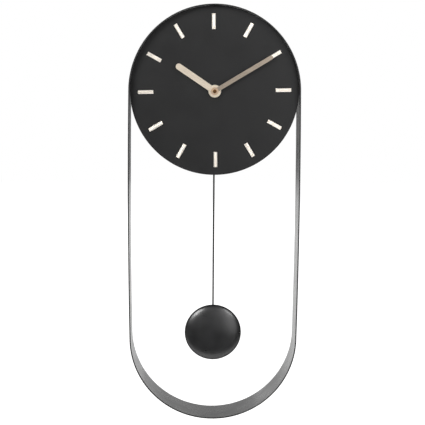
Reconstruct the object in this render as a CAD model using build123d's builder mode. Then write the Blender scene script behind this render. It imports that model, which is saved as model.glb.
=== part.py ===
from build123d import *
from math import acos, atan2, cos, pi, radians, sin, sqrt, tan
import os

# Pendulum wall clock: a pill-shaped loop of flat steel strip, a round dial held in its top arc,
# a battery movement behind the dial and a swinging rod and bob in the open part of the loop.
# Millimetres, +Z up. The clock faces -Y and the wall is the plane Y = 0. The origin is the
# centre of the keyhole that the clock hangs by. "Depth" is the distance in front of the wall.
# The dial sits turned in the band by a small DIAL_TURN, in degrees anticlockwise.

# ---- Band and dial
ARC_RADIUS = 100.0
BAND_HEIGHT = 495.0
BAND_DEPTH = 45.0
BAND_WALL = 1.5
SIDE_BOW = 1.2
BAND_EDGE_ROUND = 0.3
DIAL_RECESS = 8.0
DIAL_THICKNESS = 1.5
DIAL_EDGE_GAP = 0.1
DIAL_EDGE_ROUND = 0.5
DIAL_TURN = 1.1
HOOK_RISE = 62.0

# ---- Hour marks
MARK_COUNT = 12
MARK_LENGTH = 17.8
MARK_OUTER_RADIUS = 89.0
MARK_WIDTH = 4.4
MARK_HEIGHT = 1.4
MARK_CHAMFER = 0.4
MARK_GROOVE_WIDTH = 0.8
MARK_GROOVE_DEPTH = 0.4
MARK_FOOT_RADIUS = 0.5
MARK_FOOT_INSET = 3.5

# ---- Hands, set to ten past ten
TIME_MINUTES = 610.0
HOUR_HAND_LENGTH = 53.8
HOUR_HAND_WIDTH = 7.2
HOUR_HUB_RADIUS = 7.3
MINUTE_HAND_LENGTH = 78.0
MINUTE_HAND_WIDTH = 4.9
MINUTE_HUB_RADIUS = 4.4
HAND_THICKNESS = 0.7
HUB_STEP = 0.3
CAP_RADIUS = 2.2
CAP_HEIGHT = 1.6

# ---- Clearances
FIT = 0.02
RUN = 0.05
SEAT = 0.1
EASY = 0.3

# ---- Dial fixings
BRACKET_ANGLES = {"bracket_right": 20.0, "bracket_top": 90.0, "bracket_left": 160.0}
BRACKET_WIDTH = 14.0
BRACKET_SHEET = 1.2
BRACKET_WALL_LEG = 15.0
BRACKET_DIAL_LEG = 15.0
STUD_RADIUS = 1.5
STUD_LENGTH = 6.0
STUD_INSET = 8.5
WASHER_RADIUS = 3.2
WASHER_THICKNESS = 0.5
NUT_FLATS = 5.5
NUT_HEIGHT = 2.4

# ---- Hanger bar
BAR_WIDTH = 22.0
BAR_THICKNESS = 2.0
BAR_TAB_DEPTH = 12.0
BAR_TAB_SHEET = 1.5
KEYHOLE_RADIUS = 4.5
KEYHOLE_SLOT = 4.4
KEYHOLE_RISE = 6.5

# ---- Battery
BATTERY_RADIUS = 7.25
BATTERY_LENGTH = 49.5
BATTERY_NUB_RADIUS = 2.75
BATTERY_NUB = 1.0
BATTERY_ROOM = 0.55
CONTACT_SHEET = 0.4
SPRING_REACH = 0.5
CONTACT_ROOM = 1.8

# ---- Movement case, as wide and as deep as its battery needs
CASE_WALL = 1.2
CASE_WIDTH = (
    BATTERY_LENGTH + BATTERY_NUB + SPRING_REACH + CONTACT_ROOM + 2 * CONTACT_SHEET + 2 * CASE_WALL
)
CASE_DEPTH = 2 * (BATTERY_RADIUS + BATTERY_ROOM + CASE_WALL)
CASE_TOP = 28.0
CASE_BOTTOM = -72.0
CASE_CORNER = 4.0
GASKET_THICKNESS = 0.5
GASKET_RADIUS = 14.0
BUSH_RADIUS = 4.0
BUSH_COLLAR_RADIUS = 6.0
BUSH_BORE = 2.5
BUSH_PROUD = 2.2
BUSH_WASHER_RADIUS = 6.6
BUSH_NUT_FLATS = 11.0
BUSH_NUT_HEIGHT = 1.6
PARTITION = 1.0
WHEEL_BAY_FLOOR = -11.95
SCREW_POST_RADIUS = 1.8
POST_INSET = 2.4
SCREW_RADIUS = 0.8
SCREW_HEAD_RADIUS = 1.5
SCREW_HEAD_HEIGHT = 0.6
SCREW_LENGTH = 5.0

# ---- Pendulum
PIVOT_HEIGHT = -36.0
PIVOT_RADIUS = 1.0
LEADER_THICKNESS = 2.0
LEADER_WIDTH = 5.0
LEADER_EYE_RADIUS = 3.0
LEADER_END = -84.0
PEG_HEIGHT = -80.0
PEG_RADIUS = 1.2
PEG_LENGTH = 3.6
MAGNET_HEIGHT = -58.0
MAGNET_RADIUS = 3.0
MAGNET_THICKNESS = 3.0
ROD_RADIUS = 1.0
ROD_RING_RADIUS = 2.5
SWING = 8.0
BOB_RADIUS = 34.0
BOB_FLOOR_GAP = 68.9
BOB_THICKNESS = 8.5
BOB_CROWN = 2.0
BOB_RIM_ROUND = 4.5
BOB_SHEET = 0.8
CLIP_WIDTH = 12.0
CLIP_HEIGHT = 26.0

# ---- Wheel train: module and teeth of each mesh, and where each axis lies from the hands' axis
PRESSURE_ANGLE = 20.0
TOOTH_FILL = 0.86
WHEEL_ADDENDUM = 0.45
WHEEL_DEDENDUM = 1.05
PINION_ADDENDUM = 0.8
PINION_DEDENDUM = 0.75
ARBOR_RADIUS = 0.5
CANNON_RADIUS = 1.7
CANNON_TEETH = 12
MINUTE_TEETH = 36
MINUTE_PINION_TEETH = 10
HOUR_TEETH = 40
CANNON_MODULE = 0.5
CENTRE_TEETH = 60
THIRD_PINION_TEETH = 8
CENTRE_MODULE = 0.35
THIRD_TEETH = 64
FOURTH_PINION_TEETH = 8
THIRD_MODULE = 0.3
FOURTH_TEETH = 50
FIFTH_PINION_TEETH = 10
FOURTH_MODULE = 0.25
FIFTH_TEETH = 60
ROTOR_PINION_TEETH = 10
FIFTH_MODULE = 0.2
KNOB_TEETH = 12
WHEEL_SHEET = 0.8
PINION_FACE = 1.2
MINUTE_DIRECTION = 160.0
THIRD_DIRECTION = 60.0
FOURTH_DIRECTION = -20.0
FIFTH_DIRECTION = 60.0
ROTOR_DIRECTION = 120.0
KNOB_DIRECTION = 110.0
KNOB_RADIUS = 6.0
KNOB_HEIGHT = 3.0
KNOB_SHAFT_RADIUS = 1.5
KNOB_GRIP_COUNT = 18

# ---- Motor and circuit
ROTOR_MAGNET_RADIUS = 2.5
STATOR_GAP = 0.5
STATOR_SHEET = 1.0
COIL_LENGTH = 20.0
COIL_WIDTH = 6.0
COIL_DEPTH = 4.4
PENDULUM_COIL_RADIUS = 6.5
PENDULUM_COIL_HEIGHT = 2.2

# ---- Depths worked out from the sizes above
DIAL_FRONT = BAND_DEPTH - DIAL_RECESS
DIAL_BACK = DIAL_FRONT - DIAL_THICKNESS
CASE_FRONT = DIAL_BACK - GASKET_THICKNESS
CASE_BACK = CASE_FRONT - CASE_DEPTH
BAY_FRONT = CASE_FRONT - CASE_WALL
BAY_BACK = CASE_BACK + CASE_WALL
INNER_RADIUS = ARC_RADIUS - BAND_WALL
DIAL_RADIUS = INNER_RADIUS - DIAL_EDGE_GAP
BUSH_FRONT = DIAL_FRONT + BUSH_PROUD
HOUR_HAND_BACK = DIAL_FRONT + WASHER_THICKNESS + BUSH_NUT_HEIGHT + 0.6
HOUR_HAND_FRONT = HOUR_HAND_BACK + HAND_THICKNESS
MINUTE_HAND_BACK = HOUR_HAND_FRONT + HUB_STEP + 0.6
MINUTE_HAND_FRONT = MINUTE_HAND_BACK + HAND_THICKNESS
PENDULUM_BACK = BAY_BACK + 6.8
LEADER_FRONT = PENDULUM_BACK + LEADER_THICKNESS
ROD_DEPTH = LEADER_FRONT + ROD_RADIUS + 1.0
BOB_BACK = ROD_DEPTH + ROD_RADIUS + EASY
BATTERY_HEIGHT = WHEEL_BAY_FLOOR - PARTITION - EASY - BATTERY_RADIUS
BOB_HEIGHT = ARC_RADIUS + BAND_WALL - BAND_HEIGHT + BOB_FLOOR_GAP + BOB_RADIUS
BRIDGE_FRONT = BAY_BACK + 1.8
BRIDGE_BACK = BRIDGE_FRONT - 1.0
HOUR_WHEEL_BACK = BAY_FRONT - 1.2
MINUTE_WHEEL_BACK = HOUR_WHEEL_BACK - 1.6
CENTRE_WHEEL_BACK = MINUTE_WHEEL_BACK - 2.5
THIRD_WHEEL_BACK = CENTRE_WHEEL_BACK - 2.2
FOURTH_WHEEL_BACK = THIRD_WHEEL_BACK - 2.0
FIFTH_WHEEL_BACK = FOURTH_WHEEL_BACK - 1.8
STATOR_BACK = BRIDGE_FRONT + 0.6


FORWARD = (0, -1, 0)


def facing(depth):
    """Plane parallel to the wall at a depth, centred on the hands' axis, looking at the front."""
    return Plane(origin=(0, -depth, -HOOK_RISE), x_dir=(1, 0, 0), z_dir=(0, -1, 0))


def polar(radius, angle, centre=(0.0, 0.0)):
    """Point at a radius and an angle in degrees from a centre, in a facing plane."""
    return (centre[0] + radius * cos(radians(angle)), centre[1] + radius * sin(radians(angle)))


def add_disc(radius, back, front, centre=(0.0, 0.0), mode=Mode.ADD):
    """Add or cut a round stack between two depths."""
    with BuildSketch(facing(back)) as outline:
        with Locations(centre):
            Circle(radius)
    extrude(outline.sketch, amount=front - back, dir=FORWARD, mode=mode)


def add_block(low, high, back, front, mode=Mode.ADD):
    """Add or cut a block between two corners (x, z) and two depths."""
    middle = ((low[0] + high[0]) / 2, (low[1] + high[1]) / 2)
    with BuildSketch(facing(back)) as outline:
        with Locations(middle):
            Rectangle(high[0] - low[0], high[1] - low[1])
    extrude(outline.sketch, amount=front - back, dir=FORWARD, mode=mode)


def tooth_half_angle(radius, module, teeth):
    """Half the angle, in radians, that one involute tooth fills at a radius."""
    pitch_radius = module * teeth / 2
    base_radius = pitch_radius * cos(radians(PRESSURE_ANGLE))
    roll = acos(min(1.0, base_radius / max(radius, base_radius)))
    involute = tan(roll) - roll
    pitch_involute = tan(radians(PRESSURE_ANGLE)) - radians(PRESSURE_ANGLE)
    return pi * TOOTH_FILL / (2 * teeth) + pitch_involute - involute


def gear_outline(module, teeth, addendum, dedendum, centre, phase):
    """Closed outline of an involute gear, with one tooth centred at the phase angle in degrees."""
    pitch_radius = module * teeth / 2
    root_radius = pitch_radius - dedendum * module
    tip_radius = pitch_radius + addendum * module
    start_radius = max(root_radius, pitch_radius * cos(radians(PRESSURE_ANGLE)))
    flank = [start_radius + (tip_radius - start_radius) * step / 3 for step in range(4)]
    if start_radius > root_radius:
        flank.insert(0, root_radius)
    points = []
    for tooth in range(teeth):
        middle = radians(phase) + 2 * pi * tooth / teeth
        rising = [(r, middle - tooth_half_angle(r, module, teeth)) for r in flank]
        falling = [(r, middle + tooth_half_angle(r, module, teeth)) for r in reversed(flank)]
        for radius, angle in rising + falling:
            points.append((centre[0] + radius * cos(angle), centre[1] + radius * sin(angle)))
    return points


def add_gear(module, teeth, centre, phase, back, thickness, pinion=False):
    """Add a toothed wheel, or a pinion with longer teeth."""
    addendum = PINION_ADDENDUM if pinion else WHEEL_ADDENDUM
    dedendum = PINION_DEDENDUM if pinion else WHEEL_DEDENDUM
    with BuildSketch(facing(back)) as outline:
        with BuildLine():
            Polyline(*gear_outline(module, teeth, addendum, dedendum, centre, phase), close=True)
        make_face()
    extrude(outline.sketch, amount=thickness, dir=FORWARD)


def mesh_phase(teeth, phase, mate_teeth, direction):
    """Phase of a mate in a direction, in degrees, so that its gaps take this gear's teeth."""
    place = (direction - phase) * teeth / 360.0
    return direction + 180.0 - (0.5 - place) * 360.0 / mate_teeth


def band_outline(inset):
    """Pill outline at an inset: two round ends joined by sides that bow out a little."""
    radius = ARC_RADIUS - inset
    half_run = BAND_HEIGHT / 2 - ARC_RADIUS
    side_centre = (half_run**2 - SIDE_BOW**2) / (2 * SIDE_BOW)
    turn = atan2(half_run, side_centre)
    shoulder = (radius * cos(turn), radius * sin(turn))
    foot = (shoulder[0], -2 * half_run - shoulder[1])
    flank = (radius + SIDE_BOW, -half_run)
    ThreePointArc(shoulder, (0, radius), (-shoulder[0], shoulder[1]))
    ThreePointArc((-shoulder[0], shoulder[1]), (-flank[0], flank[1]), (-foot[0], foot[1]))
    ThreePointArc((-foot[0], foot[1]), (0, -2 * half_run - radius), foot)
    ThreePointArc(foot, flank, shoulder)


def finish(piece, label):
    """Label a piece and write it."""
    piece.part.label = label
    export_step(piece.part, f"parts/{label}.step")


os.makedirs("parts", exist_ok=True)

# ---- Axes and phases of the wheels
CENTRE_AXIS = (0.0, 0.0)
MINUTE_DISTANCE = CANNON_MODULE * (CANNON_TEETH + MINUTE_TEETH) / 2
HOUR_MODULE = 2 * MINUTE_DISTANCE / (MINUTE_PINION_TEETH + HOUR_TEETH)
MINUTE_AXIS = polar(MINUTE_DISTANCE, MINUTE_DIRECTION)
THIRD_AXIS = polar(CENTRE_MODULE * (CENTRE_TEETH + THIRD_PINION_TEETH) / 2, THIRD_DIRECTION)
FOURTH_DISTANCE = THIRD_MODULE * (THIRD_TEETH + FOURTH_PINION_TEETH) / 2
FOURTH_AXIS = polar(FOURTH_DISTANCE, FOURTH_DIRECTION, THIRD_AXIS)
FIFTH_DISTANCE = FOURTH_MODULE * (FOURTH_TEETH + FIFTH_PINION_TEETH) / 2
FIFTH_AXIS = polar(FIFTH_DISTANCE, FIFTH_DIRECTION, FOURTH_AXIS)
ROTOR_DISTANCE = FIFTH_MODULE * (FIFTH_TEETH + ROTOR_PINION_TEETH) / 2
ROTOR_AXIS = polar(ROTOR_DISTANCE, ROTOR_DIRECTION, FIFTH_AXIS)
KNOB_DISTANCE = CANNON_MODULE * (MINUTE_TEETH + KNOB_TEETH) / 2
KNOB_AXIS = polar(KNOB_DISTANCE, KNOB_DIRECTION, MINUTE_AXIS)

MINUTE_PHASE = mesh_phase(CANNON_TEETH, 0.0, MINUTE_TEETH, MINUTE_DIRECTION)
HOUR_PHASE = mesh_phase(MINUTE_PINION_TEETH, MINUTE_PHASE, HOUR_TEETH, MINUTE_DIRECTION + 180)
KNOB_PHASE = mesh_phase(MINUTE_TEETH, MINUTE_PHASE, KNOB_TEETH, KNOB_DIRECTION)
THIRD_PHASE = mesh_phase(CENTRE_TEETH, 0.0, THIRD_PINION_TEETH, THIRD_DIRECTION)
FOURTH_PHASE = mesh_phase(THIRD_TEETH, THIRD_PHASE, FOURTH_PINION_TEETH, FOURTH_DIRECTION)
FIFTH_PHASE = mesh_phase(FOURTH_TEETH, FOURTH_PHASE, FIFTH_PINION_TEETH, FIFTH_DIRECTION)
ROTOR_PHASE = mesh_phase(FIFTH_TEETH, FIFTH_PHASE, ROTOR_PINION_TEETH, ROTOR_DIRECTION)

# ---- Band: one rolled strip, its long edges eased
with BuildPart() as band:
    with BuildSketch(facing(0)):
        with BuildLine():
            band_outline(0)
        make_face()
        with BuildLine():
            band_outline(BAND_WALL)
        make_face(mode=Mode.SUBTRACT)
    extrude(amount=BAND_DEPTH)
    rim_faces = band.faces().filter_by(Axis.Y)
    fillet(rim_faces.edges(), radius=BAND_EDGE_ROUND)
finish(band, "band")


# ---- Dial, its hour marks and the studs welded to its back
def mark_angle(hour):
    """Angle of an hour on the dial, in degrees from three o'clock."""
    return 90.0 + DIAL_TURN - hour * 360.0 / MARK_COUNT


def foot_radii():
    """Distances of a mark's two feet from the dial's centre."""
    return (MARK_OUTER_RADIUS - MARK_FOOT_INSET, MARK_OUTER_RADIUS - MARK_LENGTH + MARK_FOOT_INSET)


with BuildPart() as dial:
    add_disc(DIAL_RADIUS, DIAL_BACK, DIAL_FRONT)
    front_edge = dial.faces().sort_by(Axis.Y)[0].edges()
    fillet(front_edge, radius=DIAL_EDGE_ROUND)
    add_disc(BUSH_RADIUS + EASY, DIAL_BACK, DIAL_FRONT, mode=Mode.SUBTRACT)
    with BuildSketch(facing(DIAL_BACK)):
        for radius in foot_radii():
            with PolarLocations(radius, MARK_COUNT, start_angle=DIAL_TURN):
                Circle(MARK_FOOT_RADIUS + RUN)
    extrude(amount=DIAL_THICKNESS, mode=Mode.SUBTRACT)
finish(dial, "dial")

for hour in range(1, MARK_COUNT + 1):
    angle = mark_angle(hour)
    start = polar(MARK_OUTER_RADIUS - MARK_LENGTH, angle)
    along = (cos(radians(angle)), 0, sin(radians(angle)))
    across = (-sin(radians(angle)), 0, cos(radians(angle)))
    section = Plane(
        origin=(start[0], -DIAL_FRONT, start[1] - HOOK_RISE), x_dir=across, z_dir=along
    )
    half_width = MARK_WIDTH / 2
    half_groove = MARK_GROOVE_WIDTH / 2
    with BuildPart() as mark:
        with BuildSketch(section):
            with BuildLine():
                Polyline(
                    (-half_width, 0),
                    (half_width, 0),
                    (half_width, MARK_HEIGHT - MARK_CHAMFER),
                    (half_width - MARK_CHAMFER, MARK_HEIGHT),
                    (half_groove, MARK_HEIGHT),
                    (0, MARK_HEIGHT - MARK_GROOVE_DEPTH),
                    (-half_groove, MARK_HEIGHT),
                    (MARK_CHAMFER - half_width, MARK_HEIGHT),
                    (-half_width, MARK_HEIGHT - MARK_CHAMFER),
                    close=True,
                )
            make_face()
        extrude(amount=MARK_LENGTH)
        for radius in foot_radii():
            add_disc(MARK_FOOT_RADIUS, DIAL_BACK, DIAL_FRONT, polar(radius, angle))
    finish(mark, f"hour_mark_{hour:02d}")

STUD_CENTRES = [polar(DIAL_RADIUS - STUD_INSET, angle) for angle in BRACKET_ANGLES.values()]
BRACKET_BACK = DIAL_BACK - BRACKET_SHEET
WASHER_BACK = BRACKET_BACK - WASHER_THICKNESS

with BuildPart() as dial_studs:
    for centre in STUD_CENTRES:
        add_disc(STUD_RADIUS, DIAL_BACK - STUD_LENGTH, DIAL_BACK, centre)
finish(dial_studs, "dial_studs")

with BuildPart() as stud_washers:
    for centre in STUD_CENTRES:
        add_disc(WASHER_RADIUS, WASHER_BACK, BRACKET_BACK, centre)
        add_disc(STUD_RADIUS + FIT, WASHER_BACK, BRACKET_BACK, centre, Mode.SUBTRACT)
finish(stud_washers, "stud_washers")

with BuildPart() as stud_nuts:
    with BuildSketch(facing(WASHER_BACK - NUT_HEIGHT)):
        with Locations(*STUD_CENTRES):
            RegularPolygon(NUT_FLATS / 2, 6, major_radius=False)
            Circle(STUD_RADIUS + FIT, mode=Mode.SUBTRACT)
    extrude(amount=NUT_HEIGHT)
finish(stud_nuts, "stud_nuts")

# ---- Brackets: one leg welded inside the band, the other clamped to the dial's back
LEG_RADIUS = INNER_RADIUS - SEAT
for name, angle in BRACKET_ANGLES.items():
    with BuildPart() as bracket:
        with BuildSketch(facing(DIAL_BACK - BRACKET_WALL_LEG)):
            Circle(LEG_RADIUS)
            Circle(LEG_RADIUS - BRACKET_SHEET, mode=Mode.SUBTRACT)
            with PolarLocations(LEG_RADIUS, 1, start_angle=angle):
                Rectangle(2 * BRACKET_DIAL_LEG, BRACKET_WIDTH, mode=Mode.INTERSECT)
        extrude(amount=BRACKET_WALL_LEG)
        with BuildSketch(facing(BRACKET_BACK)):
            Circle(LEG_RADIUS)
            with PolarLocations(LEG_RADIUS, 1, start_angle=angle):
                Rectangle(2 * BRACKET_DIAL_LEG, BRACKET_WIDTH, mode=Mode.INTERSECT)
            with PolarLocations(DIAL_RADIUS - STUD_INSET, 1, start_angle=angle):
                Circle(STUD_RADIUS + RUN, mode=Mode.SUBTRACT)
        extrude(amount=BRACKET_SHEET)
    finish(bracket, name)

# ---- Hanger bar: flat strip across the band's back with bent ends and a keyhole
with BuildPart() as hanger_bar:
    with BuildSketch(facing(0)):
        Circle(INNER_RADIUS - SEAT)
        with Locations((0, HOOK_RISE)):
            Rectangle(2 * ARC_RADIUS, BAR_WIDTH, mode=Mode.INTERSECT)
            Circle(KEYHOLE_RADIUS, mode=Mode.SUBTRACT)
        with Locations((0, HOOK_RISE + KEYHOLE_RISE / 2)):
            Rectangle(KEYHOLE_SLOT, KEYHOLE_RISE, mode=Mode.SUBTRACT)
        with Locations((0, HOOK_RISE + KEYHOLE_RISE)):
            Circle(KEYHOLE_SLOT / 2, mode=Mode.SUBTRACT)
    extrude(amount=BAR_THICKNESS)
    with BuildSketch(facing(0)):
        Circle(INNER_RADIUS - SEAT)
        Circle(INNER_RADIUS - SEAT - BAR_TAB_SHEET, mode=Mode.SUBTRACT)
        with Locations((0, HOOK_RISE)):
            Rectangle(2 * ARC_RADIUS, BAR_WIDTH, mode=Mode.INTERSECT)
    extrude(amount=BAR_TAB_DEPTH)
finish(hanger_bar, "hanger_bar")

# ---- Movement case, open at the back: battery bay, wheel bay above it, pendulum bay below it
HALF_CASE = CASE_WIDTH / 2
HALF_BAY = HALF_CASE - CASE_WALL
BATTERY_BAY_TOP = BATTERY_HEIGHT + BATTERY_RADIUS + EASY
BATTERY_BAY_BOTTOM = BATTERY_HEIGHT - BATTERY_RADIUS - EASY
BATTERY_DEPTH = BAY_BACK + (BAY_FRONT - BAY_BACK) / 2
SLOT_REACH = (PIVOT_HEIGHT - CASE_BOTTOM) * tan(radians(SWING + 2)) + LEADER_WIDTH / 2 + 1
BRIDGE_POSTS = [(22.5, -1.0), (-5.0, 16.4), (23.2, 21.0)]
POST_REACH = HALF_BAY - POST_INSET
POST_TOP = CASE_TOP - CASE_WALL - POST_INSET
POST_MIDDLE = BATTERY_BAY_TOP + PARTITION + SCREW_POST_RADIUS + 1.55
POST_BOTTOM = CASE_BOTTOM + CASE_WALL + POST_INSET
COVER_POSTS = [
    (-POST_REACH, POST_TOP),
    (POST_REACH, POST_MIDDLE),
    (-POST_REACH, POST_BOTTOM),
    (POST_REACH, POST_BOTTOM),
]
PIVOT_HOLES = [MINUTE_AXIS, THIRD_AXIS, FOURTH_AXIS, FIFTH_AXIS, ROTOR_AXIS]
PIVOT_DEPTH = 0.8
CASE_MIDDLE = (0, (CASE_TOP + CASE_BOTTOM) / 2)
CASE_HEIGHT = CASE_TOP - CASE_BOTTOM

with BuildPart() as movement_case:
    with BuildSketch(facing(BAY_BACK)):
        with Locations(CASE_MIDDLE):
            RectangleRounded(CASE_WIDTH, CASE_HEIGHT, CASE_CORNER)
    extrude(amount=CASE_FRONT - BAY_BACK)
    with BuildSketch(facing(BAY_BACK)):
        with Locations(CASE_MIDDLE):
            RectangleRounded(2 * HALF_BAY, CASE_HEIGHT - 2 * CASE_WALL, CASE_CORNER - CASE_WALL)
    extrude(amount=BAY_FRONT - BAY_BACK, mode=Mode.SUBTRACT)
    for low in (BATTERY_BAY_TOP, BATTERY_BAY_BOTTOM - PARTITION):
        add_block((-HALF_BAY, low), (HALF_BAY, low + PARTITION), BAY_BACK, BAY_FRONT)
    for centre in COVER_POSTS:
        add_disc(SCREW_POST_RADIUS, BAY_BACK, BAY_FRONT, centre)
        add_disc(SCREW_RADIUS + FIT, BAY_BACK, BAY_BACK + SCREW_LENGTH, centre, Mode.SUBTRACT)
    for centre in BRIDGE_POSTS:
        add_disc(SCREW_POST_RADIUS, BRIDGE_FRONT, BAY_FRONT, centre)
        add_disc(
            SCREW_RADIUS + FIT, BRIDGE_FRONT, BRIDGE_FRONT + SCREW_LENGTH, centre, Mode.SUBTRACT
        )
    for centre in PIVOT_HOLES:
        add_disc(ARBOR_RADIUS + RUN, BAY_FRONT, BAY_FRONT + PIVOT_DEPTH, centre, Mode.SUBTRACT)
    add_disc(BUSH_RADIUS + FIT, BAY_FRONT, CASE_FRONT, mode=Mode.SUBTRACT)
    add_disc(PIVOT_RADIUS + 1.5, LEADER_FRONT + EASY, BAY_FRONT, (0, PIVOT_HEIGHT))
    add_disc(
        PIVOT_RADIUS + FIT, LEADER_FRONT + EASY, BAY_FRONT + PIVOT_DEPTH, (0, PIVOT_HEIGHT),
        Mode.SUBTRACT,
    )
    add_block(
        (-SLOT_REACH, CASE_BOTTOM - 1),
        (SLOT_REACH, CASE_BOTTOM + CASE_WALL + 0.1),
        BAY_BACK,
        LEADER_FRONT + 1.0,
        Mode.SUBTRACT,
    )
finish(movement_case, "movement_case")

# ---- Back cover, with the battery window and the knob's hole
with BuildPart() as movement_cover:
    with BuildSketch(facing(CASE_BACK)):
        with Locations(CASE_MIDDLE):
            RectangleRounded(CASE_WIDTH, CASE_HEIGHT, CASE_CORNER)
        with Locations((0, BATTERY_HEIGHT)):
            Rectangle(2 * HALF_BAY - 2, 2 * BATTERY_RADIUS, mode=Mode.SUBTRACT)
        with Locations(KNOB_AXIS):
            Circle(KNOB_SHAFT_RADIUS + RUN, mode=Mode.SUBTRACT)
        with Locations((0, PIVOT_HEIGHT)):
            Circle(PIVOT_RADIUS + FIT, mode=Mode.SUBTRACT)
        with Locations(*COVER_POSTS):
            Circle(SCREW_RADIUS + RUN, mode=Mode.SUBTRACT)
    extrude(amount=CASE_WALL)
    with BuildSketch(facing(BAY_BACK)):
        with Locations((0, PIVOT_HEIGHT)):
            Circle(PIVOT_RADIUS + 1.5)
            Circle(PIVOT_RADIUS + FIT, mode=Mode.SUBTRACT)
    extrude(amount=PENDULUM_BACK - EASY - BAY_BACK)
finish(movement_cover, "movement_cover")


def add_screws(centres, seat):
    """Pan-head screws whose heads sit behind a depth and whose shanks run forward."""
    for centre in centres:
        add_disc(SCREW_HEAD_RADIUS, seat - SCREW_HEAD_HEIGHT, seat, centre)
        add_disc(SCREW_RADIUS, seat, seat + SCREW_LENGTH, centre)


with BuildPart() as cover_screws:
    add_screws(COVER_POSTS, CASE_BACK)
finish(cover_screws, "cover_screws")

# ---- Centre fixing: threaded bush, gasket, washer and hex nut
with BuildPart() as centre_bush:
    add_disc(BUSH_RADIUS, BAY_FRONT, BUSH_FRONT)
    add_disc(BUSH_COLLAR_RADIUS, CASE_FRONT, DIAL_BACK)
    add_disc(BUSH_BORE + RUN, BAY_FRONT, BUSH_FRONT, mode=Mode.SUBTRACT)
finish(centre_bush, "centre_bush")

with BuildPart() as dial_gasket:
    add_disc(GASKET_RADIUS, CASE_FRONT, DIAL_BACK)
    add_disc(BUSH_COLLAR_RADIUS + EASY, CASE_FRONT, DIAL_BACK, mode=Mode.SUBTRACT)
finish(dial_gasket, "dial_gasket")

with BuildPart() as bush_washer:
    add_disc(BUSH_WASHER_RADIUS, DIAL_FRONT, DIAL_FRONT + WASHER_THICKNESS)
    add_disc(
        BUSH_RADIUS + RUN, DIAL_FRONT, DIAL_FRONT + WASHER_THICKNESS, mode=Mode.SUBTRACT
    )
finish(bush_washer, "bush_washer")

with BuildPart() as bush_nut:
    with BuildSketch(facing(DIAL_FRONT + WASHER_THICKNESS)):
        RegularPolygon(BUSH_NUT_FLATS / 2, 6, major_radius=False)
        Circle(BUSH_RADIUS + FIT, mode=Mode.SUBTRACT)
    extrude(amount=BUSH_NUT_HEIGHT)
finish(bush_nut, "bush_nut")

# ---- Motion work: cannon pinion, minute wheel, hour wheel and setting knob
PIVOT_FRONT = BAY_FRONT + PIVOT_DEPTH - 0.2
ARBOR_BACK = BRIDGE_BACK + 0.2
CAP_THREAD = 1.2

with BuildPart() as cannon_pinion:
    add_disc(2 * ARBOR_RADIUS, ARBOR_BACK, MINUTE_WHEEL_BACK)
    add_gear(
        CANNON_MODULE, CANNON_TEETH, CENTRE_AXIS, 0.0, MINUTE_WHEEL_BACK - 0.2, PINION_FACE, True
    )
    add_disc(CANNON_RADIUS, MINUTE_WHEEL_BACK, MINUTE_HAND_BACK)
    add_disc(CAP_THREAD, MINUTE_HAND_BACK, MINUTE_HAND_FRONT + CAP_HEIGHT - 0.6)
finish(cannon_pinion, "cannon_pinion")

with BuildPart() as minute_wheel:
    add_disc(ARBOR_RADIUS, ARBOR_BACK, PIVOT_FRONT, MINUTE_AXIS)
    add_gear(
        CANNON_MODULE, MINUTE_TEETH, MINUTE_AXIS, MINUTE_PHASE, MINUTE_WHEEL_BACK, WHEEL_SHEET
    )
    add_gear(
        HOUR_MODULE,
        MINUTE_PINION_TEETH,
        MINUTE_AXIS,
        MINUTE_PHASE,
        MINUTE_WHEEL_BACK + WHEEL_SHEET,
        HOUR_WHEEL_BACK - MINUTE_WHEEL_BACK,
        True,
    )
finish(minute_wheel, "minute_wheel")

with BuildPart() as hour_wheel:
    add_gear(HOUR_MODULE, HOUR_TEETH, CENTRE_AXIS, HOUR_PHASE, HOUR_WHEEL_BACK, WHEEL_SHEET)
    add_disc(BUSH_BORE, HOUR_WHEEL_BACK, HOUR_HAND_FRONT)
    add_disc(CANNON_RADIUS + RUN, HOUR_WHEEL_BACK, HOUR_HAND_FRONT, mode=Mode.SUBTRACT)
finish(hour_wheel, "hour_wheel")

KNOB_FRONT = CASE_BACK - 1.0
with BuildPart() as setting_knob:
    add_gear(
        CANNON_MODULE,
        KNOB_TEETH,
        KNOB_AXIS,
        KNOB_PHASE,
        MINUTE_WHEEL_BACK - 0.2,
        PINION_FACE,
        True,
    )
    add_disc(KNOB_SHAFT_RADIUS, KNOB_FRONT - KNOB_HEIGHT, MINUTE_WHEEL_BACK, KNOB_AXIS)
    add_disc(KNOB_RADIUS, KNOB_FRONT - KNOB_HEIGHT, KNOB_FRONT, KNOB_AXIS)
    with BuildSketch(facing(KNOB_FRONT - KNOB_HEIGHT)):
        with Locations(KNOB_AXIS):
            with PolarLocations(KNOB_RADIUS, KNOB_GRIP_COUNT):
                Circle(0.4)
    extrude(amount=KNOB_HEIGHT, mode=Mode.SUBTRACT)
finish(setting_knob, "setting_knob")

# ---- Going train: centre, third, fourth and fifth wheels, and the motor's rotor
CENTRE_HUB_RADIUS = 1.6
with BuildPart() as centre_wheel:
    add_gear(
        CENTRE_MODULE, CENTRE_TEETH, CENTRE_AXIS, 0.0, CENTRE_WHEEL_BACK, WHEEL_SHEET
    )
    add_disc(CENTRE_HUB_RADIUS, CENTRE_WHEEL_BACK - 0.8, MINUTE_WHEEL_BACK - EASY - 0.2)
    add_disc(
        2 * ARBOR_RADIUS + RUN,
        CENTRE_WHEEL_BACK - 0.8,
        MINUTE_WHEEL_BACK - EASY - 0.2,
        mode=Mode.SUBTRACT,
    )
finish(centre_wheel, "centre_wheel")

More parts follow.
